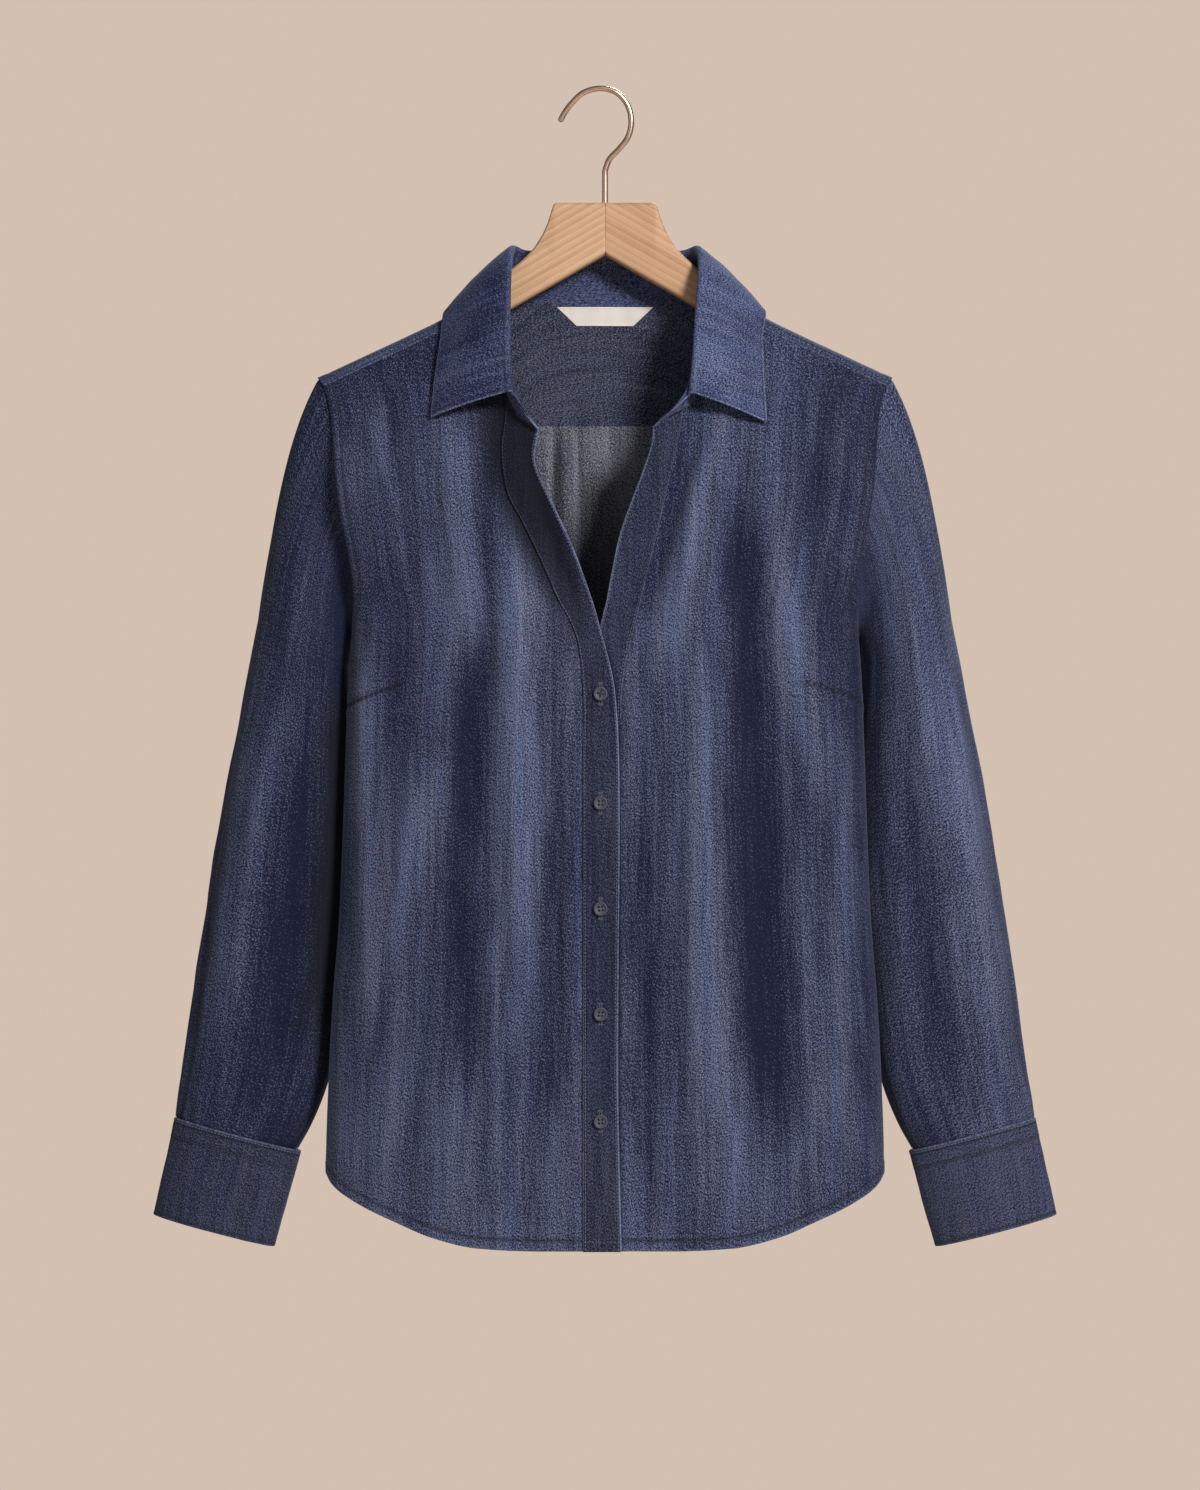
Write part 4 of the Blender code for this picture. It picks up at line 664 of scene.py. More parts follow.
def wall(name, piece, thickness, finishes, rounds=3):
    """A closed wall with rounded edges, behind a piece's grid. finishes: outside, then inside."""
    rows, columns = piece.grid.shape[:2]
    outer, normal = piece.grid.reshape(-1, 3), piece.normal.reshape(-1, 3)
    inner = outer - normal * thickness
    count = len(outer)
    index = np.arange(count).reshape(rows, columns)
    if piece.around:
        index = np.concatenate([index, index[:, :1]], axis=1)
    quads = np.stack([index[:-1, :-1], index[:-1, 1:], index[1:, 1:], index[1:, :-1]], axis=-1)
    quads = quads.reshape(-1, 4)
    points, source = [outer, inner], [np.arange(count), np.arange(count)]
    faces = [quads, quads[:, ::-1] + count]
    slots = [0] * len(quads) + [len(finishes) - 1] * len(quads)
    total = 2 * count
    for loop in borders(piece):
        edge, back, aside = outer[loop], inner[loop], off_edge(piece, loop)
        rings = [loop]
        for k in range(1, rounds):
            turn = math.pi * k / rounds
            points.append((edge + back) / 2 + (edge - back) / 2 * math.cos(turn)
                          + aside * thickness * RIM_SHARE * math.sin(turn))
            rings.append(np.arange(total, total + len(loop)))
            source.append(loop)
            total += len(loop)
        for low, high in zip(rings, rings[1:] + [loop + count]):
            faces.append(np.stack([high, np.roll(high, -1), np.roll(low, -1), low], axis=-1))
            slots += [0] * len(loop)
    points, faces, source = np.concatenate(points), np.concatenate(faces), np.concatenate(source)
    if piece.sign < 0:
        faces = faces[:, ::-1]
    mesh = bpy.data.meshes.new(name)
    mesh.vertices.add(len(points))
    mesh.vertices.foreach_set("co", flat32(points + CENTRE))
    mesh.loops.add(4 * len(faces))
    mesh.polygons.add(len(faces))
    mesh.loops.foreach_set("vertex_index", faces.astype(np.int32).ravel())
    mesh.polygons.foreach_set("loop_start", np.arange(0, 4 * len(faces), 4, dtype=np.int32))
    mesh.polygons.foreach_set("loop_total", np.full(len(faces), 4, dtype=np.int32))
    mesh.polygons.foreach_set("material_index", np.array(slots, dtype=np.int32))
    mesh.update(calc_edges=True)
    mesh.shade_smooth()
    add_cloth_maps(mesh, piece, faces, source)
    return place(name, mesh, finishes)


def flat32(values):
    """The flat 32-bit floats that foreach_set takes."""
    return np.asarray(values).astype(np.float32).ravel()


def add_cloth_maps(mesh, piece, faces, source):
    """The cloth's own coordinates in metres as a UV map, and as attributes its rubbing with painted
    shade and its fading with painted light and shade.
    """
    uv = piece.uv.reshape(-1, 2)[source][faces]
    if piece.around:
        columns = piece.grid.shape[1]
        column = (source % columns)[faces]
        wraps = (column.max(axis=1) - column.min(axis=1)) > columns // 2
        uv[..., 0] += np.where(wraps[:, None] & (column < columns // 2), piece.girth, 0)
    mesh.uv_layers.new(name="Weave").data.foreach_set("uv", flat32(uv))
    for title, values in (("wear", piece.wear), ("fade", piece.fade)):
        stored = mesh.attributes.new(title, "FLOAT", "POINT")
        stored.data.foreach_set("value", flat32(values.ravel()[source]))


def place(name, mesh, finishes=()):
    """An object in the scene for a mesh."""
    obj = bpy.data.objects.new(name, mesh)
    for finish in finishes:
        mesh.materials.append(finish)
    bpy.context.scene.collection.objects.link(obj)
    return obj

# ---- neck seam and collar stations --------------------------------------------------------------


def collar_stations(count=1400):
    """Rows of neck_x, neck_w, top, crest and edge round the collar, from right front to left."""
    rows = []
    for side in (RIGHT, LEFT):
        half = []
        for (neck_x, neck_z, top_x, top_y, top_z, crest_x, crest_y, crest_z, edge_x, edge_z,
             face) in COLLAR[side] + COLLAR_BACK:
            neck_w = face * float(turn_of(shoulder_z(neck_x) - neck_z))
            edge = body_point(side * edge_x, edge_z, face, side if face == FRONT else 0, FALL_LIFT)
            half.append([side * neck_x, neck_w * QUARTER_RUN, side * top_x, top_y, top_z,
                         side * crest_x, crest_y, crest_z, *edge])
        rows += half if side == RIGHT else half[::-1][1:]
    fine = spline(rows, count)
    fine[:, 1] /= QUARTER_RUN
    return fine


STATIONS = collar_stations()


def neck_points(side):
    """(x, z) and w along the neck seam, from one front end to the centre back."""
    line = STATIONS[:, :2] if side == RIGHT else STATIONS[::-1, :2]
    x, w = line[:len(line) // 2].T
    return np.stack([x, height_at(x, w)], axis=1), w


# ---- fronts, bands, back and yoke ---------------------------------------------------------------

TUCK = 0.0025              # how far a panel runs on under the piece sewn over it
SINK = 0.00105             # how far it lies lower there
SINK_EDGE, SINK_SLOPE = 0.0013, 0.0014   # past the tuck, where it starts to sink


def lowered(distance):
    """How far a panel sinks at an edge that runs on under the next piece."""
    return SINK * ease((TUCK + SINK_EDGE - distance) / SINK_SLOPE)


def mean_shares(*edges):
    """Shares of the run at each point, averaged over edges with as many points."""
    runs = [run_of(edge) for edge in edges]
    return np.mean([run / run[-1] for run in runs], axis=0)


def hem_line(x):
    return np.stack([x, hem_z(np.abs(x))], axis=1)


def side_edge(top_z, low_rows, high_rows):
    """(x, z) up the side seam, then up the armhole edge."""
    low = np.linspace(HEM[-1][1], UNDERARM_Z, low_rows)
    high = np.linspace(UNDERARM_Z, top_z, 200)
    edge = along_run(np.stack([half_width(high), high], axis=1), high_rows)
    return np.concatenate([np.stack([half_width(low), low], axis=1)[:-1], edge])


def body_grid(edges, across, face, side=0):
    """A panel of the body between its four edges of (x, z) points."""
    bottom, top, start, end = (in_plan(edge) for edge in edges)
    plan = coons(bottom, top, start, end, across, mean_shares(*edges[2:]))
    return body_point(reach(plan[..., 1]) * np.sin(plan[..., 0]), plan[..., 1], face, side)


def weave_of(piece, face):
    """Cloth coordinates of a body panel: round the plan, and up."""
    x, z = piece.plane
    return np.stack([ROUND_PLAN[face](np.clip(x / reach(z), -1, 1)), z], axis=-1)


def crease(x, z, line, width, depth_m):
    """Relief of a sewn crease along (x, z) and a mask of painted shade in it, softer at its tip,
    full below it.
    """
    line = along_run(line, 60)
    away = np.full(x.shape, 1.0)
    share, below = np.zeros(x.shape), np.zeros(x.shape)
    for k, (at_x, at_z) in enumerate(line):
        step = np.hypot(x - at_x, z - at_z)
        nearer = step < away
        share = np.where(nearer, k / (len(line) - 1), share)
        below = np.where(nearer, at_z - z, below)
        away = np.where(nearer, step, away)
    fade = ease((1 - share) / 0.25 + 0.15)
    swell = (0.6 * depth_m * bell(np.abs(below) - 0.0045, 0.0045) * bell(away, 0.010)
             * np.where(below > 0, 1.0, 0.45))
    return fade * (swell - depth_m * bell(away, width)), fade * bell(away, width)


def make_front(side):
    """One front panel: from under its band to the side seam, and from the hem to under the yoke."""
    band_seam = spline(BAND[side][::-1], 900)[:, 2:]
    neck, turns = neck_points(side)
    neck = neck[(neck[:, 1] > band_seam[-1, 1] + 0.001) & (turns < FRONT_SEAM_W)]
    top_w = FRONT_SEAM_W + TUCK / QUARTER_RUN
    corner = [neck[-1, 0] + side * 0.0006, float(height_at(neck[-1, 0], top_w))]
    tucked = band_seam - (side * TUCK, 0)
    inner = np.concatenate([along_run(tucked[band_seam[:, 1] <= OPEN_NECK_Z], 170)[:-1],
                            along_run(tucked[band_seam[:, 1] >= OPEN_NECK_Z], 90)[:-1],
                            along_run(np.concatenate([neck, [corner]]), 60)])
    top_x = float(armhole_x(np.array(top_w)))
    outer = side_edge(float(height_at(top_x, top_w)), 170, 149) * (side, 1)
    across = spread(112, 0.5)
    bottom = hem_line(inner[0, 0] + (outer[0, 0] - inner[0, 0]) * np.sin(across * math.pi / 2))
    high_x = inner[-1, 0] + (outer[-1, 0] - inner[-1, 0]) * across
    top = np.stack([high_x, height_at(high_x, top_w)], axis=1)
    grid = body_grid((bottom, top, inner, outer), across, FRONT, side)
    piece = Piece(grid, np.array([0, -1, 0]))
    piece.uv = weave_of(piece, FRONT)
    piece.fade = fade_and_painted_light(*piece.plane, FRONT)
    # painted shadow in the hollow beside the wearer's right neck edge
    piece.wear -= 0.95 * painted_neck_shadow(*piece.plane)
    far, (x, z) = piece.far, piece.plane
    armhole = ease((z - UNDERARM_Z) / 0.01)
    beside_band = ease((BAND[side][0][3] + 0.002 - z) / 0.004)
    relief = -lowered(far["start"]) * beside_band
    relief -= lowered(far["top"])
    relief += (0.00022 * crumple(z, x, 0.0085, 0.03, 5) * bell(far["start"] - 0.004, 0.007)
               * beside_band)
    relief += 0.00025 * crumple(x, z, 0.0070, 0.02, 6) * bell(far["top"] - 0.004, 0.008)
    relief += armhole * seam_relief(far["end"], z, ARMHOLE_STITCH, 31 + side)
    relief += (1 - armhole) * 0.00010 * crumple(z, x, 0.009, 0.02, 33) * bell(far["end"], 0.006)
    relief += seam_relief(far["bottom"], x, HEM_DEPTH, 41 + side, 0.0004, 0.0006)
    dart, line = crease(x, z, DARTS[side], 0.0010, 0.0013)
    piece.raise_by(relief + dart)
    piece.rub(far["bottom"], 0.0009, 0.40)
    # painted shade in the dart's crease and along the armhole seam
    piece.wear = piece.wear - 1.3 * line - 0.6 * armhole * bell(far["end"] - 0.0005, 0.0016)
    piece.shade_groove(far["end"], ARMHOLE_STITCH, 0.9 * armhole, 0.0011)
    piece.shade_groove(far["start"], 0.0006, 0.5, 0.0020)
    piece.shade_groove(far["bottom"], HEM_DEPTH, 0.7, 0.0010)
    return piece


def band_top_edge(side, samples):
    """(x, z) along the band's top edge on the neck seam: from its free corner to its own seam."""
    neck, _ = neck_points(side)
    return along_run(neck[neck[:, 1] <= BAND[side][0][3]], samples)


def make_band(side):
    """The folded band of one front, from the hem to the neck seam."""
    rows = spline(BAND[side][::-1], 900)
    shares = spread(300, 0.25)
    free, seam = along_run(rows[:, :2], shares), along_run(rows[:, 2:], shares)
    across = spread(22, 0.7)
    top = band_top_edge(side, across)
    bottom = free[0] + (seam[0] - free[0]) * across[:, None]
    flat = coons(bottom, top, free, seam, across, mean_shares(free, seam))
    grid = body_point(flat[..., 0], flat[..., 1], FRONT, side, BAND_LIFT[side])
    piece = Piece(grid, np.array([0, -1, 0]))
    piece.uv = np.stack([flat[..., 0] * 1.04 + 0.5, flat[..., 1]], axis=-1)
    far, (x, z) = piece.far, piece.plane
    relief = seam_relief(far["start"], z, EDGE_STITCH, 51 + side, 0.00012, 0.00012)
    relief += seam_relief(far["end"], z, EDGE_STITCH, 53 + side, 0.00012, 0.00014)
    relief += 0.00025 * crumple(x, z, 0.010, 0.022, 55)
    relief += seam_relief(far["bottom"], x, HEM_DEPTH, 57, 0.0002, 0.0002)
    piece.raise_by(relief)
    piece.fade = fade_and_painted_light(*piece.plane, FRONT)
    # painted shadow in the hollow beside the wearer's right neck edge; there the rubbed edge below
    # turns to painted shade too
    hollow = painted_neck_shadow(*piece.plane)
    piece.wear -= (0.72 - 0.25 * bell(far["end"], 0.008)) * hollow
    piece.rub(far["start"], 0.0007, 1.0)
    piece.rub(far["end"], 0.0006, 0.35 - 0.85 * hollow)
    for edge in ("start", "end"):
        piece.shade_groove(far[edge], EDGE_STITCH, 0.45 * ease((-0.37 - z) / 0.02), 0.0009)
    if side == LEFT:
        piece.wear -= overlap_shade(piece.plane[0], z)
    return piece


def overlap_shade(x, z):
    """0 to 1 beside the free edge of the wearer's right band, where it lies over the left front."""
    rows = spline(BAND[RIGHT], 200)
    edge_x = np.interp(-z, -rows[:, 1], rows[:, 0])
    return 0.95 * bell(x - edge_x - 0.0006, 0.0016) * ease((-0.385 - z) / 0.02)


def make_back():
    """The back below the yoke, in one piece from side seam to side seam."""
    edge = side_edge(YOKE_SEAM_Z + TUCK, 105, 45)
    across = spread(220, 0.25)
    bottom = hem_line(HEM[-1][0] * np.sin((across - 0.5) * math.pi))
    high_x = edge[-1, 0] * (2 * across - 1)
    top = np.stack([high_x, np.full(len(high_x), edge[-1, 1])], axis=1)
    piece = Piece(body_grid((bottom, top, edge * (-1, 1), edge), across, BACK), np.array([0, 1, 0]))
    piece.uv = weave_of(piece, BACK) + (0.9, 0)
    piece.fade = fade_and_painted_light(*piece.plane, BACK)
    far, (x, z) = piece.far, piece.plane
    armhole = ease((z - UNDERARM_Z) / 0.01)
    relief = -lowered(far["top"])
    relief += 0.0003 * crumple(x, z, 0.0075, 0.03, 61) * bell(far["top"] - 0.004, 0.012)
    for seed, beside in ((62, far["start"]), (63, far["end"])):
        relief += armhole * seam_relief(beside, z, ARMHOLE_STITCH, seed)
        relief += (1 - armhole) * 0.00025 * crumple(z, x, 0.009, 0.02, seed) * bell(beside, 0.006)
    relief += seam_relief(far["bottom"], x, HEM_DEPTH, 64, 0.0003, 0.0004)
    piece.raise_by(relief)
    piece.rub(far["bottom"], 0.0009, 0.40)
    return piece


def make_yoke():
    """The yoke in one piece: round the neck and over both shoulders, between the front seams."""
    inner = STATIONS[(STATIONS[:, 1] >= FRONT_SEAM_W)][:, :2]
    shift = 0.0003 * np.sign(inner[:, :1]) * ease((0.5 - inner[:, 1:]) / 0.5)
    inner = inner + np.concatenate([shift, np.zeros_like(shift)], axis=1)
    turns = np.linspace(FRONT_SEAM_W, float(armhole_turn(YOKE_SEAM_Z)), 200)
    side = np.stack([armhole_x(turns), turns], axis=1)
    low_x = np.linspace(side[-1, 0], 0, 200)
    low = np.stack([low_x, turn_of(shoulder_z(low_x) - YOKE_SEAM_Z)], axis=1)
    half = np.concatenate([side, low[1:]])
    scale = np.array([1, QUARTER_RUN])

    def both(right, left):
        """One line from two that meet at the centre back, with as many points on each."""
        return np.concatenate([along_run(right * scale, 130)[:-1],
                               along_run(left * scale, 130)[::-1]])

    outer = both(half * (-1, 1), half)
    inner = both(inner[inner[:, 0] < 0], inner[inner[:, 0] > 0][::-1])
    along = spread(62, 0.6)
    ends = [inner[k] + (outer[k] - inner[k]) * along[:, None] for k in (0, -1)]
    flat = coons(inner, outer, *ends, np.linspace(0, 1, len(inner)), along)
    x, w = flat[..., 0], flat[..., 1] / QUARTER_RUN
    w[:, 0] = w[:, -1] = FRONT_SEAM_W
    piece = Piece(over_shoulder(x, w), np.array([0, 0, 1]))
    piece.uv = np.stack([flat[..., 1] + 0.3, x + 2.0], axis=-1)  # cut crosswise
    far = piece.far
    from_low = np.abs(piece.grid[..., 2] - YOKE_SEAM_Z) + 10 * (w < 1)
    from_hole = (armhole_x(w) - np.abs(x)) * 1.12
    relief = seam_relief(from_hole, w * QUARTER_RUN, ARMHOLE_STITCH, 71)
    relief += seam_relief(from_low, x, EDGE_STITCH, 72, 0.0002, 0.00025)
    for seed, beside in ((73, far["start"]), (74, far["end"])):
        relief += seam_relief(beside, x, EDGE_STITCH, seed, 0.0003, 0.0003)
    piece.raise_by(relief)
    piece.rub(far["ends"], 0.0006, 0.25)
    for row in (EDGE_STITCH, EDGE_STITCH + TWIN_STITCH):
        piece.shade_groove(far["ends"], row, 0.4, 0.0009)
    reach_of = [np.linalg.norm(np.diff(edge * scale, axis=0), axis=1).sum() for edge in (side, low)]
    piece.corner = reach_of[0] / sum(reach_of) / 2
    return piece


# ---- collar -------------------------------------------------------------------------------------


def even_stations(count, crowd):
    """Collar stations at even distances along its outer edge, closer together at its ends."""
    run = run_of(STATIONS[:, 8:11])
    return sampled(STATIONS, run, spread(count, crowd) * run[-1])


def make_stand():
    """The collar's stand, on its neck side."""
    rows = even_stations(200, 0.3)
    x, w = rows[:, 0], rows[:, 1]
    lift = (ease((-w - 1.6) / 2.5) + ease((-w - 4.6) / 2.2)) / 2
    out = -COLLAR_CLOTH / 2 + STAND_LIFT * lift
    neck = np.where((x < 0)[:, None], over_shoulder(x, w, RIGHT, out),
                    over_shoulder(x, w, LEFT, out))
    top = rows[:, 2:5]
    up = unit(top - neck)
    low, high = neck - up * 0.0008, top - up * 0.0004
    belly = unit(np.stack([high[:, 0], high[:, 1] + 0.012, np.zeros(len(high))], axis=1)) * 0.0008
    share = spread(26, 0.6)[:, None, None]
    grid = low + (high - low) * share + belly * 4 * share * (1 - share)
    piece = Piece(grid, np.array([-1, -1, 0]) * (grid - (0, -0.012, 0)))
    piece.uv = piece.uv + (3.0, 0)
    far = piece.far
    relief = seam_relief(far["bottom"], far["start"], EDGE_STITCH, 81, 0.00012, 0.00015)
    relief += seam_relief(far["top"], far["start"], STAND_TOP_STITCH, 82, 0.0001, 0.0001)
    piece.raise_by(relief + 0.0002 * crumple(far["start"], far["bottom"], 0.02, 0.02, 83))
    piece.rub(far["ends"], 0.0007, 0.9)
    return piece


def make_fall():
    """The collar's fall: up from the stand's top edge, over the fold and down to the outer edge."""
    rows = even_stations(230, 0.35)
    top, crest, edge = rows[:, 2:5], rows[:, 5:8], rows[:, 8:11]
    along = unit(np.gradient(crest, axis=0))
    rise = crest - top
    rise = unit(rise - along * dot(rise, along))
    out = unit(np.cross(along, rise))
    out = out * np.where(dot(out, edge - crest) > 0, 1, -1)
    middle = crest - rise * ROLL_RADIUS + out * ROLL_RADIUS
    turns = np.radians(np.linspace(0, 145, 14))[:, None, None]
    roll = middle + ROLL_RADIUS * (rise * np.sin(turns) - out * np.cos(turns))
    leaf = edge - roll[-1]
    normal = unit(rise * dot(leaf, out) - out * dot(leaf, rise))
    t = spread(46, 0.55)[1:, None, None]
    leaves = roll[-1] + leaf * t + normal * FALL_BULGE * 4 * t * (1 - t)
    grid = np.concatenate([[top + rise * 0.0002], roll, leaves])
    piece = Piece(grid, np.array([0, 0, 1]))
    run = piece.far["start"][20:21].repeat(len(grid), axis=0)   # of a row on the leaf
    piece.uv = np.stack([run, -piece.far["bottom"]], axis=-1) + (4.0, 0)
    far = piece.far
    relief = seam_relief(far["top"], far["start"], EDGE_STITCH, 91, 0.00015, 0.00015)
    for seed, beside in ((92, far["start"]), (93, far["end"])):
        relief += seam_relief(beside, far["top"], EDGE_STITCH, seed, 0.00015, 0.00015)
    leaf_only = ease(far["bottom"] / 0.02)
    relief += 0.00045 * crumple(far["start"], far["top"], 0.030, 0.035, 94) * leaf_only
    relief += 0.00018 * crumple(far["start"], far["top"], 0.010, 0.014, 95) * leaf_only
    piece.raise_by(relief)
    x = piece.plane[0]
    # painted light and shade: paler where the relief stands up, partly faded indigo; the wearer's
    # left leaf painted lighter and the right leaf darker
    piece.fade = relief / 0.0006 + 0.5 * ease(x / 0.05) - 0.5 * ease(-x / 0.05)
    for edge, amount in (("top", 0.8), ("start", 0.6), ("end", 0.6)):
        piece.rub(far[edge], 0.0005, amount)
    for edge in ("top", "start", "end"):
        piece.shade_groove(far[edge], EDGE_STITCH)
    piece.rub(far["bottom"] - 0.009, 0.0030, 0.15)
    return piece


# ---- sleeves, plackets and cuffs ----------------------------------------------------------------

SLEEVE_GIRTH = 0.27        # of the weave, whatever the section
SLEEVE_TUCK = 0.0035       # how far a sleeve runs on inside its cuff
SLIT_ANGLES = np.radians((-93, -70))
SLIT_TOP, SLIT_FOOT = 0.112, 0.006   # of the strip over the slit, from the sleeve's lower end
SLIT_LIFT = 0.0011


def oval(sections, angles, out=0.0):
    """Points of tilted oval sections: angle 0 at the outer side, a quarter turn at the front."""
    outer_x, outer_z, inner_x, inner_z, centre_y, half_depth = np.asarray(sections).T[..., None]
    wide, tall = outer_x - inner_x, outer_z - inner_z
    length = np.hypot(wide, tall)
    along = (length / 2 + out) * np.cos(angles)
    return np.stack([(outer_x + inner_x) / 2 + wide / length * along,
                     centre_y - (half_depth + out) * np.sin(angles),
                     (outer_z + inner_z) / 2 + tall / length * along], axis=-1)


def sleeve_cap(angles, shares):
    """Rows from the armhole to the sleeve's first section, at shares of the way."""
    w = -float(armhole_turn(UNDERARM_Z)) * angles / math.pi
    edge_x = armhole_x(w)
    under = over_shoulder(edge_x - 0.0040, w, 0, -0.00135)
    start = over_shoulder(edge_x, w, 0, -0.00125)
    cos, sin = np.cos(angles)[:, None], np.sin(angles)[:, None]
    leave = sum(np.array(SLEEVE_LEAVES[way]) * part ** 2 for way, part in (
        ("top", np.maximum(cos, 0)), ("under", np.minimum(cos, 0)),
        ("front", np.maximum(sin, 0)), ("back", np.minimum(sin, 0))))
    end = oval([SLEEVE[0]], angles)[0]
    span = np.linalg.norm(end - start, axis=1, keepdims=True)
    arrive = unit(np.array([0.13, 0.0, -0.99])) * span * 1.05
    return np.concatenate([[under], hermite(start, end, leave, arrive, shares[:, None, None])])


def sleeve_relief(side, angles, along, down):
    """A sleeve's folds, limp waves and gathers. along: 0 at its first section, 1 at the cuff."""
    total = np.zeros((len(along), len(angles)))
    degrees_at, at, down = np.degrees(angles)[None], along[:, None], down[:, None]
    for degrees, start, end, width, height in SLEEVE_FOLDS + SLEEVE_SMALL_FOLDS[side]:
        off = (degrees_at - degrees + 180) % 360 - 180
        on = ease((at - start + 0.2) / 0.3) * ease((end + 0.1 - at) / 0.3)
        total += height * on * bell(off, width)
    total *= ease((1 - at) / 0.06 + 0.2)
    u = angles[None] / (2 * math.pi) * SLEEVE_GIRTH

    def wrap(size_u, size_v, seed):
        """Random relief that fades out where it meets itself, at the inner side."""
        fade = ease((math.pi - np.abs(angles[None])) / 0.5)
        return crumple(u, down, size_u, size_v, seed) * fade

    waves = (0.0011 * wrap(0.030, 0.10, 101 + side) + 0.0006 * wrap(0.014, 0.045, 103 + side)
             + 0.0002 * wrap(0.007, 0.020, 105 + side))
    gather = ease((0.055 - (down[-1] - down)) / 0.055)
    gathers = 0.0013 * wrap(0.0062, 0.080, 107 + side) + 0.0005 * wrap(0.0033, 0.03, 109)
    return total + ease((at + 0.25) / 0.2) * waves + gather * gathers


def make_sleeve(side, around=150):
    """A sleeve from under the armhole's edge to inside the cuff."""
    angles = np.linspace(-math.pi, math.pi, around + 1)[:-1]
    cap_shares = spread(70, 0.3)[:-1]
    below = spread(170, 0.25)
    cap = sleeve_cap(angles, cap_shares)
    rings = oval(spline(SLEEVE, below), angles)
    end = rings[-1] + unit(rings[-1] - rings[-2]) * SLEEVE_TUCK
    grid = np.concatenate([cap, rings, [end]]) * (side, 1, 1)
    along = np.concatenate([[-0.42], (cap_shares - 1) * 0.4, below, [1.0]])
    piece = Piece(grid, grid - grid.mean(axis=1, keepdims=True), around=True)
    down = piece.far["bottom"].mean(axis=1)
    u = angles[None] / (2 * math.pi) * SLEEVE_GIRTH + 5.0 + side
    piece.uv = np.stack(np.broadcast_arrays(u, -down[:, None]), axis=-1)
    piece.girth = SLEEVE_GIRTH
    from_cap, from_cuff = piece.far["bottom"] - 0.004, piece.far["top"]
    relief = sleeve_relief(side, angles, along, down)
    # painted light and shade: paler on fold ridges and darker in hollows, partly faded indigo; the
    # wearer's right sleeve painted darker than the left, both darker on the inner side towards the
    # body, with painted shade where the body hides that side
    inner = ease((-np.cos(angles) - 0.25) / 0.5)[None]
    painted_side_shade, shaded = (-0.9, 1.1) if side == RIGHT else (-0.1, 0.25)
    piece.fade = np.clip(relief / 0.0036, -1.3, 1.0) + painted_side_shade - 1.1 * inner
    hidden = ease((down - 0.10) / 0.12) * ease((0.46 - down) / 0.12)
    piece.wear -= shaded * inner * hidden[:, None]
    u = angles[None] * 0.05 + 0 * from_cap
    gathered = bell(from_cap - 0.002, 0.007)
    relief += 0.00045 * crumple(u, from_cap, 0.0060, 0.02, 121 + side) * gathered
    relief -= 0.0004 * bell(from_cap - 0.0005, 0.0016)
    relief -= 0.0015 * ease((0.0048 - from_cuff) / 0.0016)
    piece.raise_by(relief)
    piece.angles = angles
    return piece


def make_sleeve_placket(sleeve):
    """The strip over the sleeve's slit, above the cuff's opening, on the sleeve's own surface."""
    columns = np.linspace(*SLIT_ANGLES, 12)
    picks = np.interp(columns, sleeve.angles, np.arange(len(sleeve.angles)))
    down = sleeve.far["top"].mean(axis=1)
    rows = np.linspace(SLIT_TOP, SLIT_FOOT, 60)
    i = np.interp(rows, down[::-1], np.arange(len(down))[::-1])
    low_i, low_j = np.floor(i).astype(int), np.floor(picks).astype(int)
    fi, fj = (i - low_i)[:, None, None], (picks - low_j)[None, :, None]

    def smooth(field):
        a = field[low_i][:, low_j] * (1 - fj) + field[low_i][:, low_j + 1] * fj
        b = field[low_i + 1][:, low_j] * (1 - fj) + field[low_i + 1][:, low_j + 1] * fj
        return a * (1 - fi) + b * fi

    grid = smooth(sleeve.grid) + unit(smooth(sleeve.normal)) * SLIT_LIFT
    piece = Piece(grid, np.array([0, 1, 0]))
    piece.uv = piece.uv + (8.0, 0)
    far = piece.far
    relief = sum(seam_relief(far[edge], far[run], EDGE_STITCH, 131, 0.00012, 0.0001)
                 for edge, run in (("start", "bottom"), ("end", "bottom"), ("bottom", "start")))
    piece.raise_by(relief)
    piece.rub(far["ends"], 0.0009, 0.7)
    return piece


CUFF_TURN = CUFF_OVERLAP / WRIST_RADIUS


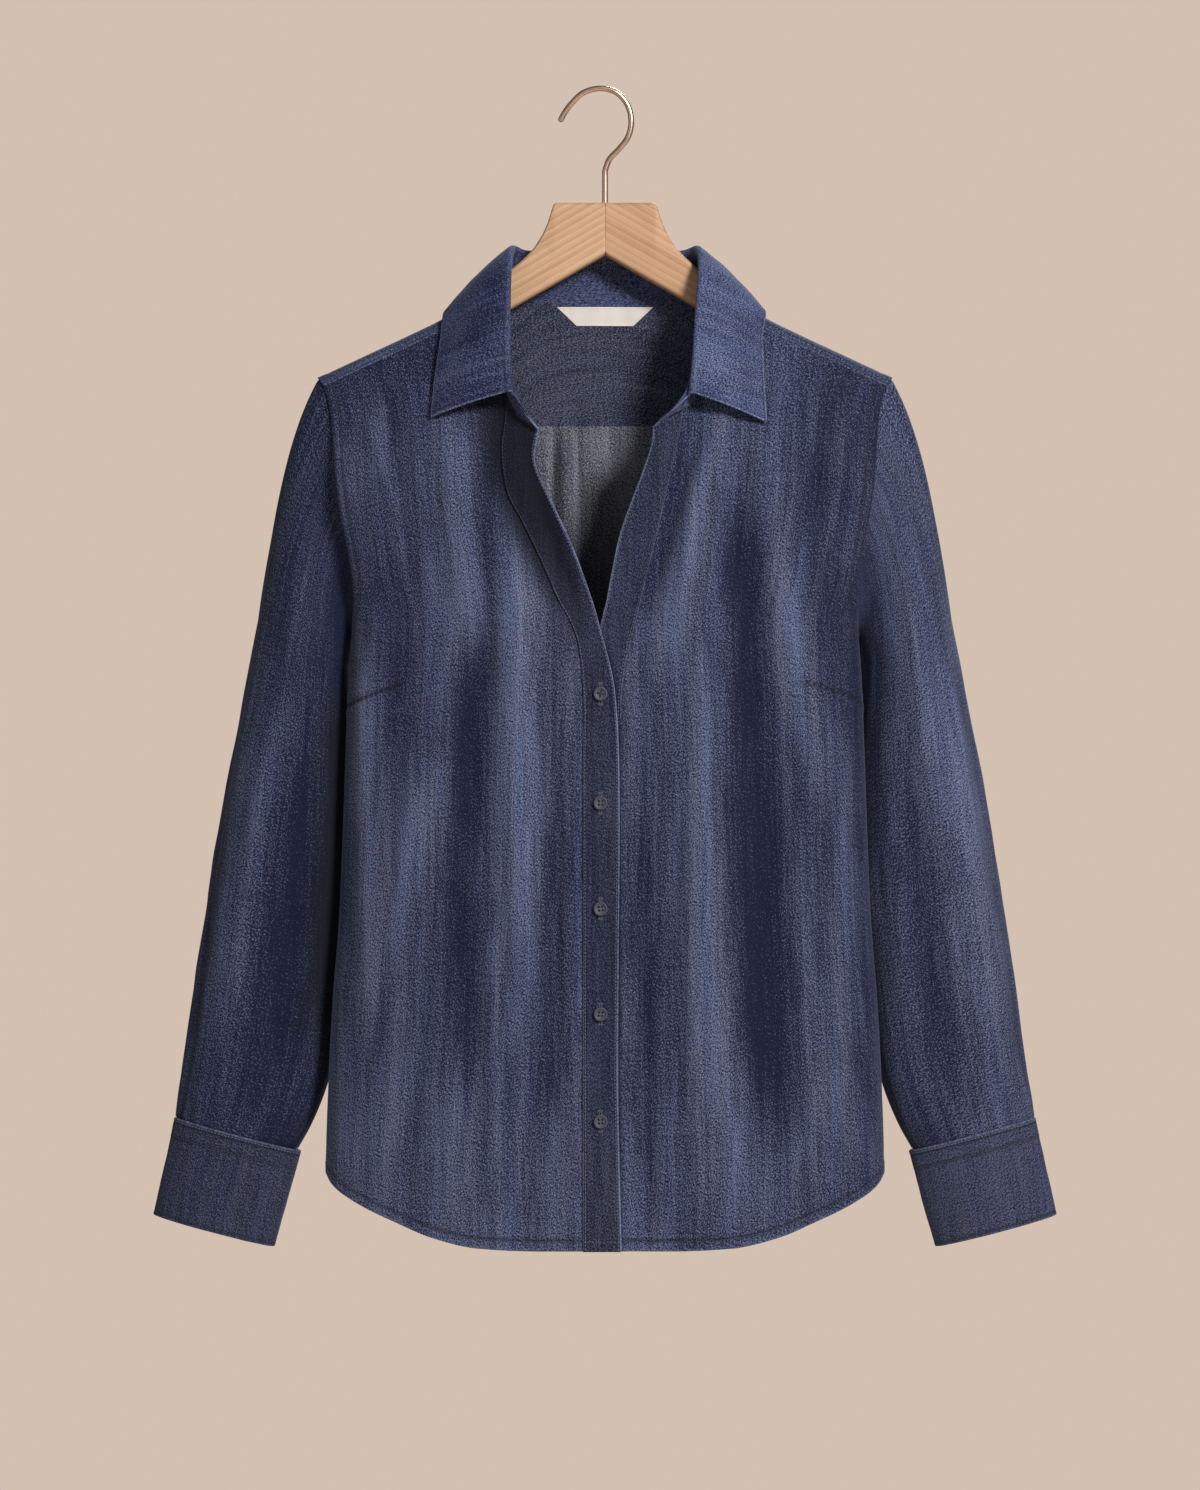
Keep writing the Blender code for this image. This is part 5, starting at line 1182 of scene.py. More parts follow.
def make_cuff(side, around=190):
    """An interlined cuff: a strip once round the wrist, its outer end lying over its inner one."""
    turn = np.linspace(0, 1, around)
    angles = CUFF_START + (2 * math.pi + CUFF_TURN) * turn
    lift = CUFF_LIFT + OVERLAP_LIFT * ease((turn - 0.62) / 0.2)
    sections = spline(CUFF, spread(54, 0.6))
    grid = oval(sections, angles, lift[None]) * (side, 1, 1)
    piece = Piece(grid, grid - grid.mean(axis=1, keepdims=True))
    piece.uv = piece.uv * (1, -1) + (6.5 + side, 0)
    far = piece.far
    relief = seam_relief(far["bottom"], far["start"], EDGE_STITCH, 141, 0.0001, 0.00012)
    relief += seam_relief(far["bottom"], far["start"], CUFF_SECOND_ROW, 142, 0.0001, 0.00014)
    relief += seam_relief(far["top"], far["start"], EDGE_STITCH, 143, 0.00015, 0.00012)
    relief += 0.0006 * crumple(far["start"], far["bottom"], 0.028, 0.040, 144 + side)
    relief += 0.0002 * crumple(far["start"], far["bottom"], 0.009, 0.012, 146 + side)
    piece.raise_by(relief)
    # painted light: the left cuff lighter all over than the right
    piece.fade = piece.fade + (0.9 if side == LEFT else 0.2)
    piece.rub(far["top"], 0.0006, 0.25)
    piece.rub(far["bottom"], 0.0006, 0.45)
    for edge, row in (("top", EDGE_STITCH), ("bottom", CUFF_SECOND_ROW), ("bottom", 0.0026)):
        piece.shade_groove(far[edge], row, 0.8, 0.0010)
    piece.rub(far["ends"], 0.0008, 0.7)
    return piece

# ---- meshes -------------------------------------------------------------------------------------


def mesh_from(work, name):
    """The mesh of a bmesh, which is freed."""
    mesh = bpy.data.meshes.new(name)
    work.to_mesh(mesh)
    work.free()
    return mesh


def points_of(mesh):
    flat = np.empty(len(mesh.vertices) * 3, np.float32)
    mesh.vertices.foreach_get("co", flat)
    return flat.reshape(-1, 3)


def store_vectors(mesh, title, values):
    mesh.attributes.new(title, "FLOAT_VECTOR", "POINT").data.foreach_set("vector", flat32(values))


def with_modifiers(obj):
    """A new mesh of an object as its modifiers leave it."""
    bpy.context.view_layer.update()
    shown = obj.evaluated_get(bpy.context.evaluated_depsgraph_get())
    return bpy.data.meshes.new_from_object(shown)


def loft(name, rings, sharp_deg):
    """A closed mesh through rings of points. A ring of one point is a tip, others are capped."""
    work = bmesh.new()
    verts = [[work.verts.new(point) for point in ring] for ring in rings]
    for low, high in zip(verts, verts[1:]):
        around = max(len(low), len(high))
        for k in range(around):
            n = (k + 1) % around
            corners = (low[k % len(low)], low[n % len(low)],
                       high[n % len(high)], high[k % len(high)])
            work.faces.new(list(dict.fromkeys(corners)))
    for ring in (verts[0], verts[-1]):
        if len(ring) > 1:
            work.faces.new(ring)
    bmesh.ops.triangulate(work, faces=[face for face in work.faces if len(face.verts) > 4])
    bmesh.ops.recalc_face_normals(work, faces=work.faces)
    for face in work.faces:
        face.smooth = True
    mesh = mesh_from(work, name)
    mesh.set_sharp_from_angle(angle=math.radians(sharp_deg))
    return mesh


# ---- sewing -------------------------------------------------------------------------------------


def stitch_tree():
    """Geometry nodes that lay one thread stitch at each point, by the point's own directions."""
    tree = bpy.data.node_groups.new("Sewn stitches", "GeometryNodeTree")
    for title, kind in (("Places", "Geometry"), ("Length", "Float"), ("Radius", "Float"),
                        ("Thread", "Material")):
        tree.interface.new_socket(title, in_out="INPUT", socket_type="NodeSocket" + kind)
    tree.interface.new_socket("Stitches", in_out="OUTPUT", socket_type="NodeSocketGeometry")
    new = tree.nodes.new
    given, result = new("NodeGroupInput"), new("NodeGroupOutput")
    bead = new("GeometryNodeMeshUVSphere")
    bead.inputs["Segments"].default_value, bead.inputs["Rings"].default_value = 6, 4
    bead.inputs["Radius"].default_value = 1.0
    turn = new("FunctionNodeAxesToRotation")
    turn.primary_axis, turn.secondary_axis = "X", "Z"
    for title, axis in (("along", "Primary Axis"), ("up", "Secondary Axis")):
        stored = new("GeometryNodeInputNamedAttribute")
        stored.data_type = "FLOAT_VECTOR"
        stored.inputs["Name"].default_value = title
        tree.links.new(stored.outputs["Attribute"], turn.inputs[axis])
    half, flat, size = new("ShaderNodeMath"), new("ShaderNodeMath"), new("ShaderNodeCombineXYZ")
    half.operation = flat.operation = "MULTIPLY"
    half.inputs[1].default_value, flat.inputs[1].default_value = 0.5, 1.3
    lay, real = new("GeometryNodeInstanceOnPoints"), new("GeometryNodeRealizeInstances")
    paint, smooth = new("GeometryNodeSetMaterial"), new("GeometryNodeSetShadeSmooth")
    for source, title, target, socket in (
            (given, "Length", half, 0), (given, "Radius", flat, 0),
            (half, 0, size, "X"), (flat, 0, size, "Y"), (given, "Radius", size, "Z"),
            (given, "Places", lay, "Points"), (bead, "Mesh", lay, "Instance"),
            (turn, "Rotation", lay, "Rotation"), (size, "Vector", lay, "Scale"),
            (lay, "Instances", real, "Geometry"), (real, "Geometry", smooth, "Geometry"),
            (smooth, "Geometry", paint, "Geometry"), (given, "Thread", paint, "Material"),
            (paint, "Geometry", result, "Stitches")):
        tree.links.new(source.outputs[title], target.inputs[socket])
    return tree


SEWING = stitch_tree()


def sew(name, rows, thread, length=STITCH_LENGTH, radius=STITCH_RADIUS):
    """Stitches as one plain mesh. rows: points, directions along the thread, cloth normals."""
    points, along, up = (np.concatenate([row[k] for row in rows]) for k in range(3))
    mesh = bpy.data.meshes.new(name + "_places")
    mesh.vertices.add(len(points))
    mesh.vertices.foreach_set("co", flat32(points + CENTRE))
    store_vectors(mesh, "along", along)
    store_vectors(mesh, "up", up)
    places = place(name + "_places", mesh)
    laid = places.modifiers.new("Stitches", "NODES")
    laid.node_group = SEWING
    for title, value in (("Length", length), ("Radius", radius), ("Thread", thread)):
        laid[SEWING.interface.items_tree[title].identifier] = value
    made = with_modifiers(places)
    places.modifiers.remove(laid)
    bpy.data.objects.remove(places)
    for title in ("along", "up"):
        if title in made.attributes:
            made.attributes.remove(made.attributes[title])
    return place(name, made, [] if made.materials else [thread])


def seam(piece, edge, distance, first=0.0, last=1.0):
    """A row of stitches at a distance from one of a piece's edges, over a share of that edge."""
    lanes, points, normal = piece.far[edge], piece.grid, piece.normal
    if edge in ("bottom", "top"):
        lanes = lanes.T
        points, normal = points.transpose(1, 0, 2), normal.transpose(1, 0, 2)
    path = []
    for k in range(int(first * (len(lanes) - 1)), int(last * (len(lanes) - 1)) + 1):
        run, line = lanes[k], np.concatenate([points[k], normal[k]], axis=1)
        if run[0] > run[-1]:
            run, line = run[::-1], line[::-1]
        if run[-1] > distance:
            path.append([np.interp(distance, run, column) for column in line.T])
    path = np.array(path)
    if piece.around:
        path = np.concatenate([path, path[:1]])
    run = run_of(path[:, :3])
    count = int(run[-1] / STITCH_PITCH)
    found = sampled(path, run, (np.arange(count) + 0.5) * run[-1] / count)
    up = unit(found[:, 3:])
    return found[:, :3] + up * STITCH_LIFT, unit(np.gradient(found[:, :3], axis=0)), up


def buttonhole(point, down, up, across):
    """Close stitches round a slit: across it along both sides, and a bar at each end."""
    half, wide = BUTTONHOLE_LENGTH / 2, BUTTONHOLE_WIDTH / 2
    at = np.arange(-half, half, BUTTONHOLE_PITCH)
    rows = [point + down * at[:, None] + across * side * wide * 0.62 for side in (-1, 1)]
    bar = np.linspace(-wide, wide, 5)
    for end in (-half, half):
        for step in (-0.0004, 0.0002):
            rows.append(point + down * (end + step) + across * bar[:, None])
    return [(row, np.broadcast_to(across, row.shape), np.broadcast_to(up, row.shape))
            for row in rows]


# ---- buttons ------------------------------------------------------------------------------------

BUTTON_PROFILE = (  # share of the radius, height: from the dished middle round to the back
    (0.0, 0.00115), (0.30, 0.00115), (0.60, 0.00120), (0.68, 0.00140), (0.74, 0.00185),
    (0.79, 0.00222), (0.85, 0.00238), (0.91, 0.00228), (0.96, 0.00195), (0.99, 0.00155),
    (1.0, 0.00115), (0.985, 0.00070), (0.94, 0.00030), (0.87, 0.00006), (0.78, 0.0), (0.0, 0.0),
)
THREAD_HOLES = 0.00128     # of a hole's centre from the button's axes
HOLE_RADIUS, HOLE_FLOOR, CUTTER_HEIGHT = 0.00092, 0.00035, 0.006


def button_template():
    """One button with four thread holes, whose walls and floors take its second finish, a
    near-black thread painted there as shade.
    """
    rings = []
    for share, height in BUTTON_PROFILE:
        turn = [2 * math.pi * k / BUTTON_SIDES for k in range(BUTTON_SIDES if share else 1)]
        radius = share * BUTTON_RADIUS
        rings.append([(radius * math.cos(a), radius * math.sin(a), height) for a in turn])
    disc = place("button_blank", loft("button_blank", rings, 50))
    work = bmesh.new()
    for x in (-THREAD_HOLES, THREAD_HOLES):
        for y in (-THREAD_HOLES, THREAD_HOLES):
            made = bmesh.ops.create_cone(work, cap_ends=True, segments=14, radius1=HOLE_RADIUS,
                                         radius2=HOLE_RADIUS, depth=CUTTER_HEIGHT)
            bmesh.ops.translate(work, verts=made["verts"],
                                vec=(x, y, HOLE_FLOOR + CUTTER_HEIGHT / 2))
    cutter = place("thread_holes", mesh_from(work, "thread_holes"))
    cut = disc.modifiers.new("Thread holes", "BOOLEAN")
    cut.object, cut.solver = cutter, "EXACT"
    made = with_modifiers(disc)
    bpy.data.objects.remove(disc)
    bpy.data.objects.remove(cutter)
    for face in made.polygons:
        face.use_smooth = True
        x, y, height = face.center
        off_axis = math.hypot(abs(x) - THREAD_HOLES, abs(y) - THREAD_HOLES)
        # painted shade: near-black walls and floors in the thread holes
        face.material_index = int(off_axis < HOLE_RADIUS * 0.99 and height < 0.0010)
    made.set_sharp_from_angle(angle=math.radians(50))
    return made


def button_thread(point, x_axis, y_axis, up, crossed):
    """Thread over a button's holes: two straight bars, or a cross."""
    height = up * (0.00125 if crossed else 0.00045)
    if crossed:
        lanes = [(x_axis + y_axis, 0 * x_axis), (x_axis - y_axis, 0 * x_axis)]
    else:
        lanes = [(x_axis, y_axis * THREAD_HOLES), (x_axis, -y_axis * THREAD_HOLES)]
    rows = []
    for along, offset in lanes:
        for step in (-0.00022, 0.00022):
            beside = unit(np.cross(up, along)) * step
            rows.append((point + height + offset + beside, unit(along), up))
    return [tuple(np.array([value]) for value in row) for row in rows]


def fasten(node, point, up, turn, crossed, thread_length):
    """A button on a place of the cloth, with the thread over its holes."""
    side = unit(np.cross(np.array([0.0, 0.0, 1.0]), up))
    high = np.cross(up, side)
    x_axis = side * math.cos(turn) + high * math.sin(turn)
    y_axis = np.cross(up, x_axis)
    mesh = TEMPLATE.copy()
    mesh.name = node + "_disc"
    placed = points_of(mesh) @ np.array([x_axis, y_axis, up]) + point + CENTRE
    mesh.vertices.foreach_set("co", flat32(placed))
    mesh.update()
    # the holes take the near-black thread as painted shade
    dress(place(node + "_disc", mesh, [SLATE, DARK_THREAD_AND_HOLE_SHADE]), node)
    rows = button_thread(point, x_axis, y_axis, up, crossed)
    dress(sew(node + "_thread", rows, DARK_THREAD_AND_HOLE_SHADE, thread_length, BUTTON_THREAD), node)


# ---- label, hanger and hook ---------------------------------------------------------------------


def make_label():
    """The blank woven label under the back neck seam, folded under at its edges."""
    (high, wide), (low, narrow) = LABEL
    t = spread(22, 0.5)[:, None]
    u = spread(70, 0.3)[None] * 2 - 1
    x = (wide + (narrow - wide) * t) * u
    z = high + (low - high) * t + 0 * x
    piece = Piece(body_point(x, z, BACK, 0, -CLOTH - LABEL_GAP), np.array([0, -1, 0]))
    away = np.min([piece.far[edge] for edge in ("ends", "bottom", "top")], axis=0)
    piece.raise_by(0.00022 * ease((0.0022 - away) / 0.0008)
                   + 0.00012 * crumple(x, z, 0.012, 0.008, 151)
                   - 0.0002 * bell(away - 0.0013, 0.0004))
    piece.uv = np.stack([x, z], axis=-1)
    return piece


def arm_outline():
    """(x, top_z, bottom_z) along one arm, close together at its corners and its round end."""
    seated = [(x, float(shoulder_z(x)) - HANGER_SEAT) for x in np.linspace(0.0785, 0.180, 40)]
    top = along_run(list(HANGER_NECK) + seated, 150)
    rows = [(x, z, HANGER_APEX_Z - HANGER_LOWER_SLOPE * x) for x, z in top]
    tip = spline([rows[-4], rows[-1], *HANGER_TIP], 22)[8:]
    return np.array(rows + [tuple(row) for row in tip])


def make_arm(name, side):
    """One wooden arm: a flat board with rounded edges, from the mitre to its round end."""
    half = HANGER_THICKNESS / 2
    corner = np.radians(np.linspace(0, 90, 7))
    rings = []
    for x, top, bottom in arm_outline():
        edge = min(HANGER_EDGE, (top - bottom) * 0.45)
        inset, round_y, round_z = half - edge, edge * np.sin(corner), edge * np.cos(corner)
        y = np.concatenate([inset + round_y, inset + round_z])
        z = np.concatenate([top - edge + round_z, bottom + edge - round_y])
        y, z = np.concatenate([y, -y[::-1]]), np.concatenate([z, z[::-1]])
        rings.append(np.stack([np.full(len(y), x), y, z], axis=1))
    first, last = rings[0], rings[-1]
    middle, end = first.mean(axis=0), last.mean(axis=0)
    start = []
    for share, at_x in ((0.00045, 0.00008), (0.00015, 0.00022)):   # round of the mitre's edge
        ring = first + unit(middle - first) * share
        ring[:, 0] = at_x
        start.append(ring)
    first[:, 0] = 0.0006
    finish = []
    for shrink, on in ((0.86, 0.0007), (0.6, 0.0012), (0.3, 0.0014)):
        ring = end + (last - end) * shrink
        ring[:, 0] = last[0, 0] + on
        finish.append(ring)
    mesh = loft(name, np.stack(start + rings + finish) * (side, 1, 1) + CENTRE, 40)
    x, y, z = (points_of(mesh) - CENTRE).T
    slope = math.atan(HANGER_LOWER_SLOPE)
    along = abs(x) * math.cos(slope) - z * math.sin(slope)
    across = abs(x) * math.sin(slope) + z * math.cos(slope)
    grain = np.stack([along + (0.7 if side > 0 else 0), across, y], axis=1)
    store_vectors(mesh, "grain", grain)
    return place(name, mesh, [BEECH[side]])


def make_hook():
    """The wire hook, with a round tip."""
    path = np.concatenate([[HOOK[0]], along_run(HOOK[:3], 14)[1:-1], spline(HOOK[2:], 150)])
    tangent = unit(np.gradient(path, axis=0))
    side = np.stack([-tangent[:, 1], tangent[:, 0]], axis=1)
    turn = np.linspace(0, 2 * math.pi, WIRE_SIDES + 1)[:-1]
    sections = [(k, WIRE_RADIUS, 0.0) for k in range(len(path))]
    for angle in np.radians((20, 40, 58, 74)):
        sections.append((-1, WIRE_RADIUS * math.cos(angle), WIRE_RADIUS * math.sin(angle)))
    sections.append((-1, 0.0, WIRE_RADIUS))
    rings = []
    for k, radius, on in sections:
        angles = turn if radius else turn[:1]
        x, z = (path[k] + side[k] * radius * np.cos(angles)[:, None] + tangent[k] * on).T
        rings.append(np.stack([x, radius * np.sin(angles), z], axis=1) + CENTRE)
    return place("hook_wire", loft("hook_wire", rings, 60), [GOLD])


# ---- finishes -----------------------------------------------------------------------------------


class Shade:
    """A shader socket that takes Python's operators. Each adds a Math node."""

    def __init__(self, finish, socket):
        self.finish, self.socket = finish, socket

    def math(self, operation, *values):
        return self.finish.node("ShaderNodeMath", {"operation": operation},
                                dict(enumerate([self, *values])))

    def __add__(self, other):
        return self.math("ADD", other)

    __radd__ = __add__

    def __sub__(self, other):
        return self.math("SUBTRACT", other)

    def __rsub__(self, other):
        return self * -1.0 + other

    def __mul__(self, other):
        return self.math("MULTIPLY", other)

    __rmul__ = __mul__

    def clamped(self):
        """Kept between 0 and 1."""
        return self.math("MAXIMUM", 0.0).math("MINIMUM", 1.0)

    def between(self, low, high):
        """0 at low, 1 at high, with a soft step between."""
        return self.finish.node("ShaderNodeMapRange", {"interpolation_type": "SMOOTHSTEP"},
                                {"Value": self, "From Min": low, "From Max": high})


class Finish:
    """A material under construction. Colours are given as red, green and blue."""

    def __init__(self, name):
        self.material = bpy.data.materials.new(name)
        self.material.use_nodes = True
        tree = self.material.node_tree
        self.nodes, self.links = tree.nodes, tree.links
        self.shader = self.nodes["Principled BSDF"]

    def node(self, kind, settings=None, inputs=None, output=0):
        """Adds a node. Settings are set first, then its sockets' values or links."""
        made = self.nodes.new(kind)
        for title, value in (settings or {}).items():
            if title == "stops":
                ramp = made.color_ramp.elements
                while len(ramp) < len(value):
                    ramp.new(0.5)
                for stop, (at, colour) in zip(ramp, value):
                    stop.position, stop.color = at, (*colour, 1.0)
            else:
                setattr(made, title, value)
        for title, value in (inputs or {}).items():
            self.feed(made.inputs[title], value)
        return Shade(self, made.outputs[output])

    def feed(self, socket, value):
        """Sets a socket: a link from another node, a colour, or a plain value."""
        if isinstance(value, Shade):
            self.links.new(value.socket, socket)
        else:
            socket.default_value = (*value, 1.0) if socket.type == "RGBA" else value

    def scaled(self, vector, scale, shift=(0, 0, 0)):
        for operation, by in (("MULTIPLY", scale), ("ADD", shift)):
            if any(by):
                vector = self.node("ShaderNodeVectorMath", {"operation": operation},
                                   {0: vector, 1: by})
        return vector

    def noise(self, vector, scale, detail=2.0, rough=0.5, warp=0.0, shift=(0, 0, 0)):
        """Noise from 0 to 1 on a stretched vector."""
        return self.node("ShaderNodeTexNoise", {"noise_dimensions": "3D"},
                         {"Vector": self.scaled(vector, scale, shift), "Scale": 1.0,
                          "Detail": detail, "Roughness": rough, "Distortion": warp})

    def bands(self, vector, profile, scale, warp, detail, detail_scale, rough=0.5):
        """Waves in bands along Y."""
        return self.node("ShaderNodeTexWave", {"wave_type": "BANDS", "bands_direction": "Y",
                                               "wave_profile": profile},
                         {"Vector": vector, "Scale": scale, "Distortion": warp, "Detail": detail,
                          "Detail Scale": detail_scale, "Detail Roughness": rough})

    def mix(self, factor, a, b, blend="MIX"):
        """A colour between a and b. Mix's colour sockets are 6 and 7, and its output is 2."""
        return self.node("ShaderNodeMix", {"data_type": "RGBA", "blend_type": blend},
                         {0: factor, 6: a, 7: b}, 2)

    def attribute(self, name, output="Fac"):
        return self.node("ShaderNodeAttribute", {"attribute_name": name}, output=output)

    def weave(self):
        """The cloth's own coordinates."""
        return self.node("ShaderNodeUVMap", {"uv_map": "Weave"})

    def spot(self):
        """The place on the object."""
        return self.node("ShaderNodeTexCoord", output="Object")

    def close(self, bump=None, constants=None, **links):
        """Sets the shader's sockets. bump: height, distance and strength. links: _ for a space."""
        if bump:
            height, distance, strength = bump
            links["Normal"] = self.node("ShaderNodeBump", inputs={
                "Height": height, "Distance": distance, "Strength": strength})
        for title, value in (constants or {}).items():
            self.feed(self.shader.inputs[title], value)
        for title, value in links.items():
            self.feed(self.shader.inputs[title.replace("_", " ")], value)
        return self.material


def cloth_finish(name, navy, pale, grey, worn, lightness):
    """Chambray: navy flecked with pale threads, in long bluer and greyer streaks, worn at edges,
    with painted light and shade from the fading attribute and painted shade, near black, where the
    rubbing attribute is below zero.
    """
    f = Finish(name)
    weave = f.weave()
    turned = f.node("ShaderNodeVectorRotate", {"rotation_type": "Z_AXIS"},
                    {"Vector": weave, "Angle": math.radians(24)})
    fleck = f.noise(turned, (1350.0, 760.0, 1.0), 0.0, 0.5)
    twill = f.noise(turned, (2300.0, 560.0, 1.0), 0.0, 0.5, shift=(7.0, 3.0, 0.0))
    slub = f.noise(weave, (480.0, 19.0, 1.0), 2.0, 0.6)
    weft = f.noise(weave, (30.0, 620.0, 1.0), 1.0, 0.6, shift=(3.0, 9.0, 0.0))
    streak = f.noise(weave, (150.0, 5.0, 1.0), 3.0, 0.6)
    patch = f.noise(weave, (42.0, 9.0, 1.0), 3.0, 0.6)
    tone = f.noise(weave, (85.0, 4.0, 1.0), 2.0, 0.6, shift=(5.0, 1.0, 0.0))
    # rubbing: paler above zero, painted shade below; fading: faded indigo with painted light and
    # shade
    wear, fade = f.attribute("wear"), f.attribute("fade")
    light = (lightness + (fleck - 0.5) * 1.9 + (twill - 0.5) * 0.8 + (slub - 0.5) * 0.62
             + (weft - 0.5) * 0.26 + (streak - 0.5) * 0.46 + (patch - 0.5) * 0.32
             + fade * (0.13 + fleck * 0.20))
    thread = f.mix(light.clamped(), navy, f.mix(tone.between(0.38, 0.62), pale, grey))
    rubbed = (wear * (0.05 + fleck) + (patch - 0.5) * wear).clamped()
    # painted shade: where the rubbing attribute is below zero, the cloth darkens towards near black
    painted_shade = (wear * -1.0).clamped() * 0.92
    colour = f.mix(painted_shade, f.mix(rubbed, thread, worn), (0.004, 0.005, 0.010))
    height = fleck * 0.5 + twill * 0.3 + slub * 0.3 + weft * 0.2
    return f.close((height, 0.00006, 0.3),
                   {"Specular IOR Level": 0.20, "Sheen Weight": 0.14, "Sheen Roughness": 0.45,
                    "Sheen Tint": (0.62, 0.70, 0.95)},
                   Base_Color=colour, Roughness=0.86 + (fleck - 0.5) * 0.1)


def thread_finish(name, dark, light):
    f = Finish(name)
    spot = f.spot()
    fine = f.noise(spot, (2600.0, 2600.0, 2600.0), 1.0)
    broad = f.noise(spot, (90.0, 90.0, 90.0), 2.0)
    colour = f.mix((fine * 0.7 + broad * 0.6 - 0.15).clamped(), dark, light)
    return f.close((fine, 0.0001, 0.5), {"Sheen Weight": 0.2},
                   Base_Color=colour, Roughness=0.62 + fine * 0.15)


def button_finish():
    """Dull slate plastic, faintly clouded, with a fine grit."""
    f = Finish("slate button")
    spot = f.spot()
    cloud = f.noise(spot, (420.0, 420.0, 420.0), 3.0, 0.55, 0.6)
    grit = f.noise(spot, (5200.0, 5200.0, 5200.0), 1.0)
    return f.close((grit * 0.5 + cloud * 0.5, 0.00004, 0.5),
                   {"Specular IOR Level": 0.35, "Coat Roughness": 0.35, "Coat Weight": 0.05},
                   Base_Color=f.mix(cloud, (0.048, 0.050, 0.082), (0.082, 0.084, 0.128)),
                   Roughness=0.36 + cloud * 0.16 + grit * 0.05)


def label_finish():
    """Cream woven tape: a fine rib across, with a satin face."""
    f = Finish("cream label")
    weave = f.weave()
    rib = f.bands(weave, "SIN", 400.0, 0.6, 1.0, 3.0)
    yarn = f.noise(weave, (2400.0, 500.0, 1.0), 1.0)
    soil = f.noise(weave, (70.0, 90.0, 1.0), 3.0)
    tone = (yarn * 0.6 + soil * 0.5 - 0.05).clamped()
    return f.close((rib * 0.6 + yarn * 0.4, 0.00012, 0.6),
                   {"Sheen Weight": 0.15, "Specular IOR Level": 0.35},
                   Base_Color=f.mix(tone, (0.64, 0.60, 0.56), (0.71, 0.68, 0.65)),
                   Roughness=0.52 + yarn * 0.2)


def wood_finish(name, depth):
    """Pale oiled beech: straight grain along each arm, with short dark flecks and soft bands. depth
    multiplies the colour, so that a darker copy stands in for shade.
    """
    f = Finish(name)
    grain = f.attribute("grain", "Vector")
    bend = f.noise(grain, (9.0, 26.0, 26.0), 2.0)
    fibre = f.noise(grain, (26.0, 1300.0, 1300.0), 3.0, 0.6)
    band = f.noise(grain, (5.0, 95.0, 95.0), 3.0, 0.55, 0.4)
    ring = f.bands(f.scaled(grain, (0.10, 1.0, 1.0)), "SAW", 62.0, 1.6, 2.0, 1.2)
    fleck = f.noise(grain, (260.0, 2600.0, 2600.0), 1.0).between(0.60, 0.74)
    tone = (band - 0.5) * 0.9 + (fibre - 0.5) * 0.7 + (ring - 0.5) * 0.32 + 0.5
    stops = ((0.0, (0.315, 0.162, 0.086)), (0.30, (0.435, 0.250, 0.142)),
             (0.62, (0.545, 0.350, 0.215)), (1.0, (0.640, 0.445, 0.290)))
    colour = f.node("ShaderNodeValToRGB", {"stops": stops}, {"Fac": tone.clamped()})
    colour = f.mix(1.0, f.mix(fleck * 0.30, colour, (0.300, 0.140, 0.070)), depth, "MULTIPLY")
    return f.close((fibre * 0.6 + ring * 0.2 - fleck * 0.5, 0.00010, 0.5),
                   {"Specular IOR Level": 0.45, "Coat Weight": 0.08, "Coat Roughness": 0.35},
                   Base_Color=colour, Roughness=0.42 + fibre * 0.16 + bend * 0.05)


def hook_finish():
    """Satin rose-gold wire, brushed round, a little darker where it was handled."""
    f = Finish("satin rose gold")
    spot = f.spot()
    brushed = f.noise(spot, (900.0, 900.0, 2600.0), 2.0)
    tarnish = f.noise(spot, (60.0, 60.0, 60.0), 4.0, 0.6, 0.5)
    return f.close((brushed, 0.00003, 0.4), Metallic=1.0,
                   Base_Color=f.mix(tarnish, (0.560, 0.370, 0.265), (0.800, 0.600, 0.470)),
                   Roughness=0.22 + tarnish * 0.14 + brushed * 0.06)


def floor_finish():
    f = Finish("pale floor")
    cloud = f.noise(f.spot(), (1.3, 1.3, 1.3), 3.0)
    return f.close(Base_Color=f.mix(cloud, (0.640, 0.560, 0.490), (0.680, 0.600, 0.530)),
                   Roughness=0.9)


CHAMBRAY, PRESSED, INSIDE, LINING, COLLAR_BLUE = (cloth_finish(*row) for row in (
    # name, ground, pale thread, greyer thread, worn edge, lightness
    ("chambray outside", (0.0036, 0.0056, 0.0270), (0.1420, 0.1800, 0.3300),
     (0.1600, 0.1860, 0.3050), (0.190, 0.240, 0.400), 0.24),
    ("chambray pressed", (0.0032, 0.0046, 0.0180), (0.0800, 0.0980, 0.1900),
     (0.0880, 0.1000, 0.1700), (0.170, 0.220, 0.370), 0.20),
    ("chambray inside", (0.0250, 0.0290, 0.0450), (0.2650, 0.2900, 0.3650),
     (0.2900, 0.3050, 0.3600), (0.200, 0.260, 0.450), 0.29),
    ("chambray yoke inside", (0.0045, 0.0060, 0.0190), (0.1300, 0.1500, 0.2500),
     (0.1450, 0.1580, 0.2400), (0.190, 0.240, 0.400), 0.24),
    ("chambray collar", (0.0036, 0.0064, 0.0330), (0.1450, 0.1850, 0.3700),
     (0.1600, 0.1920, 0.3500), (0.210, 0.270, 0.460), 0.23),
))
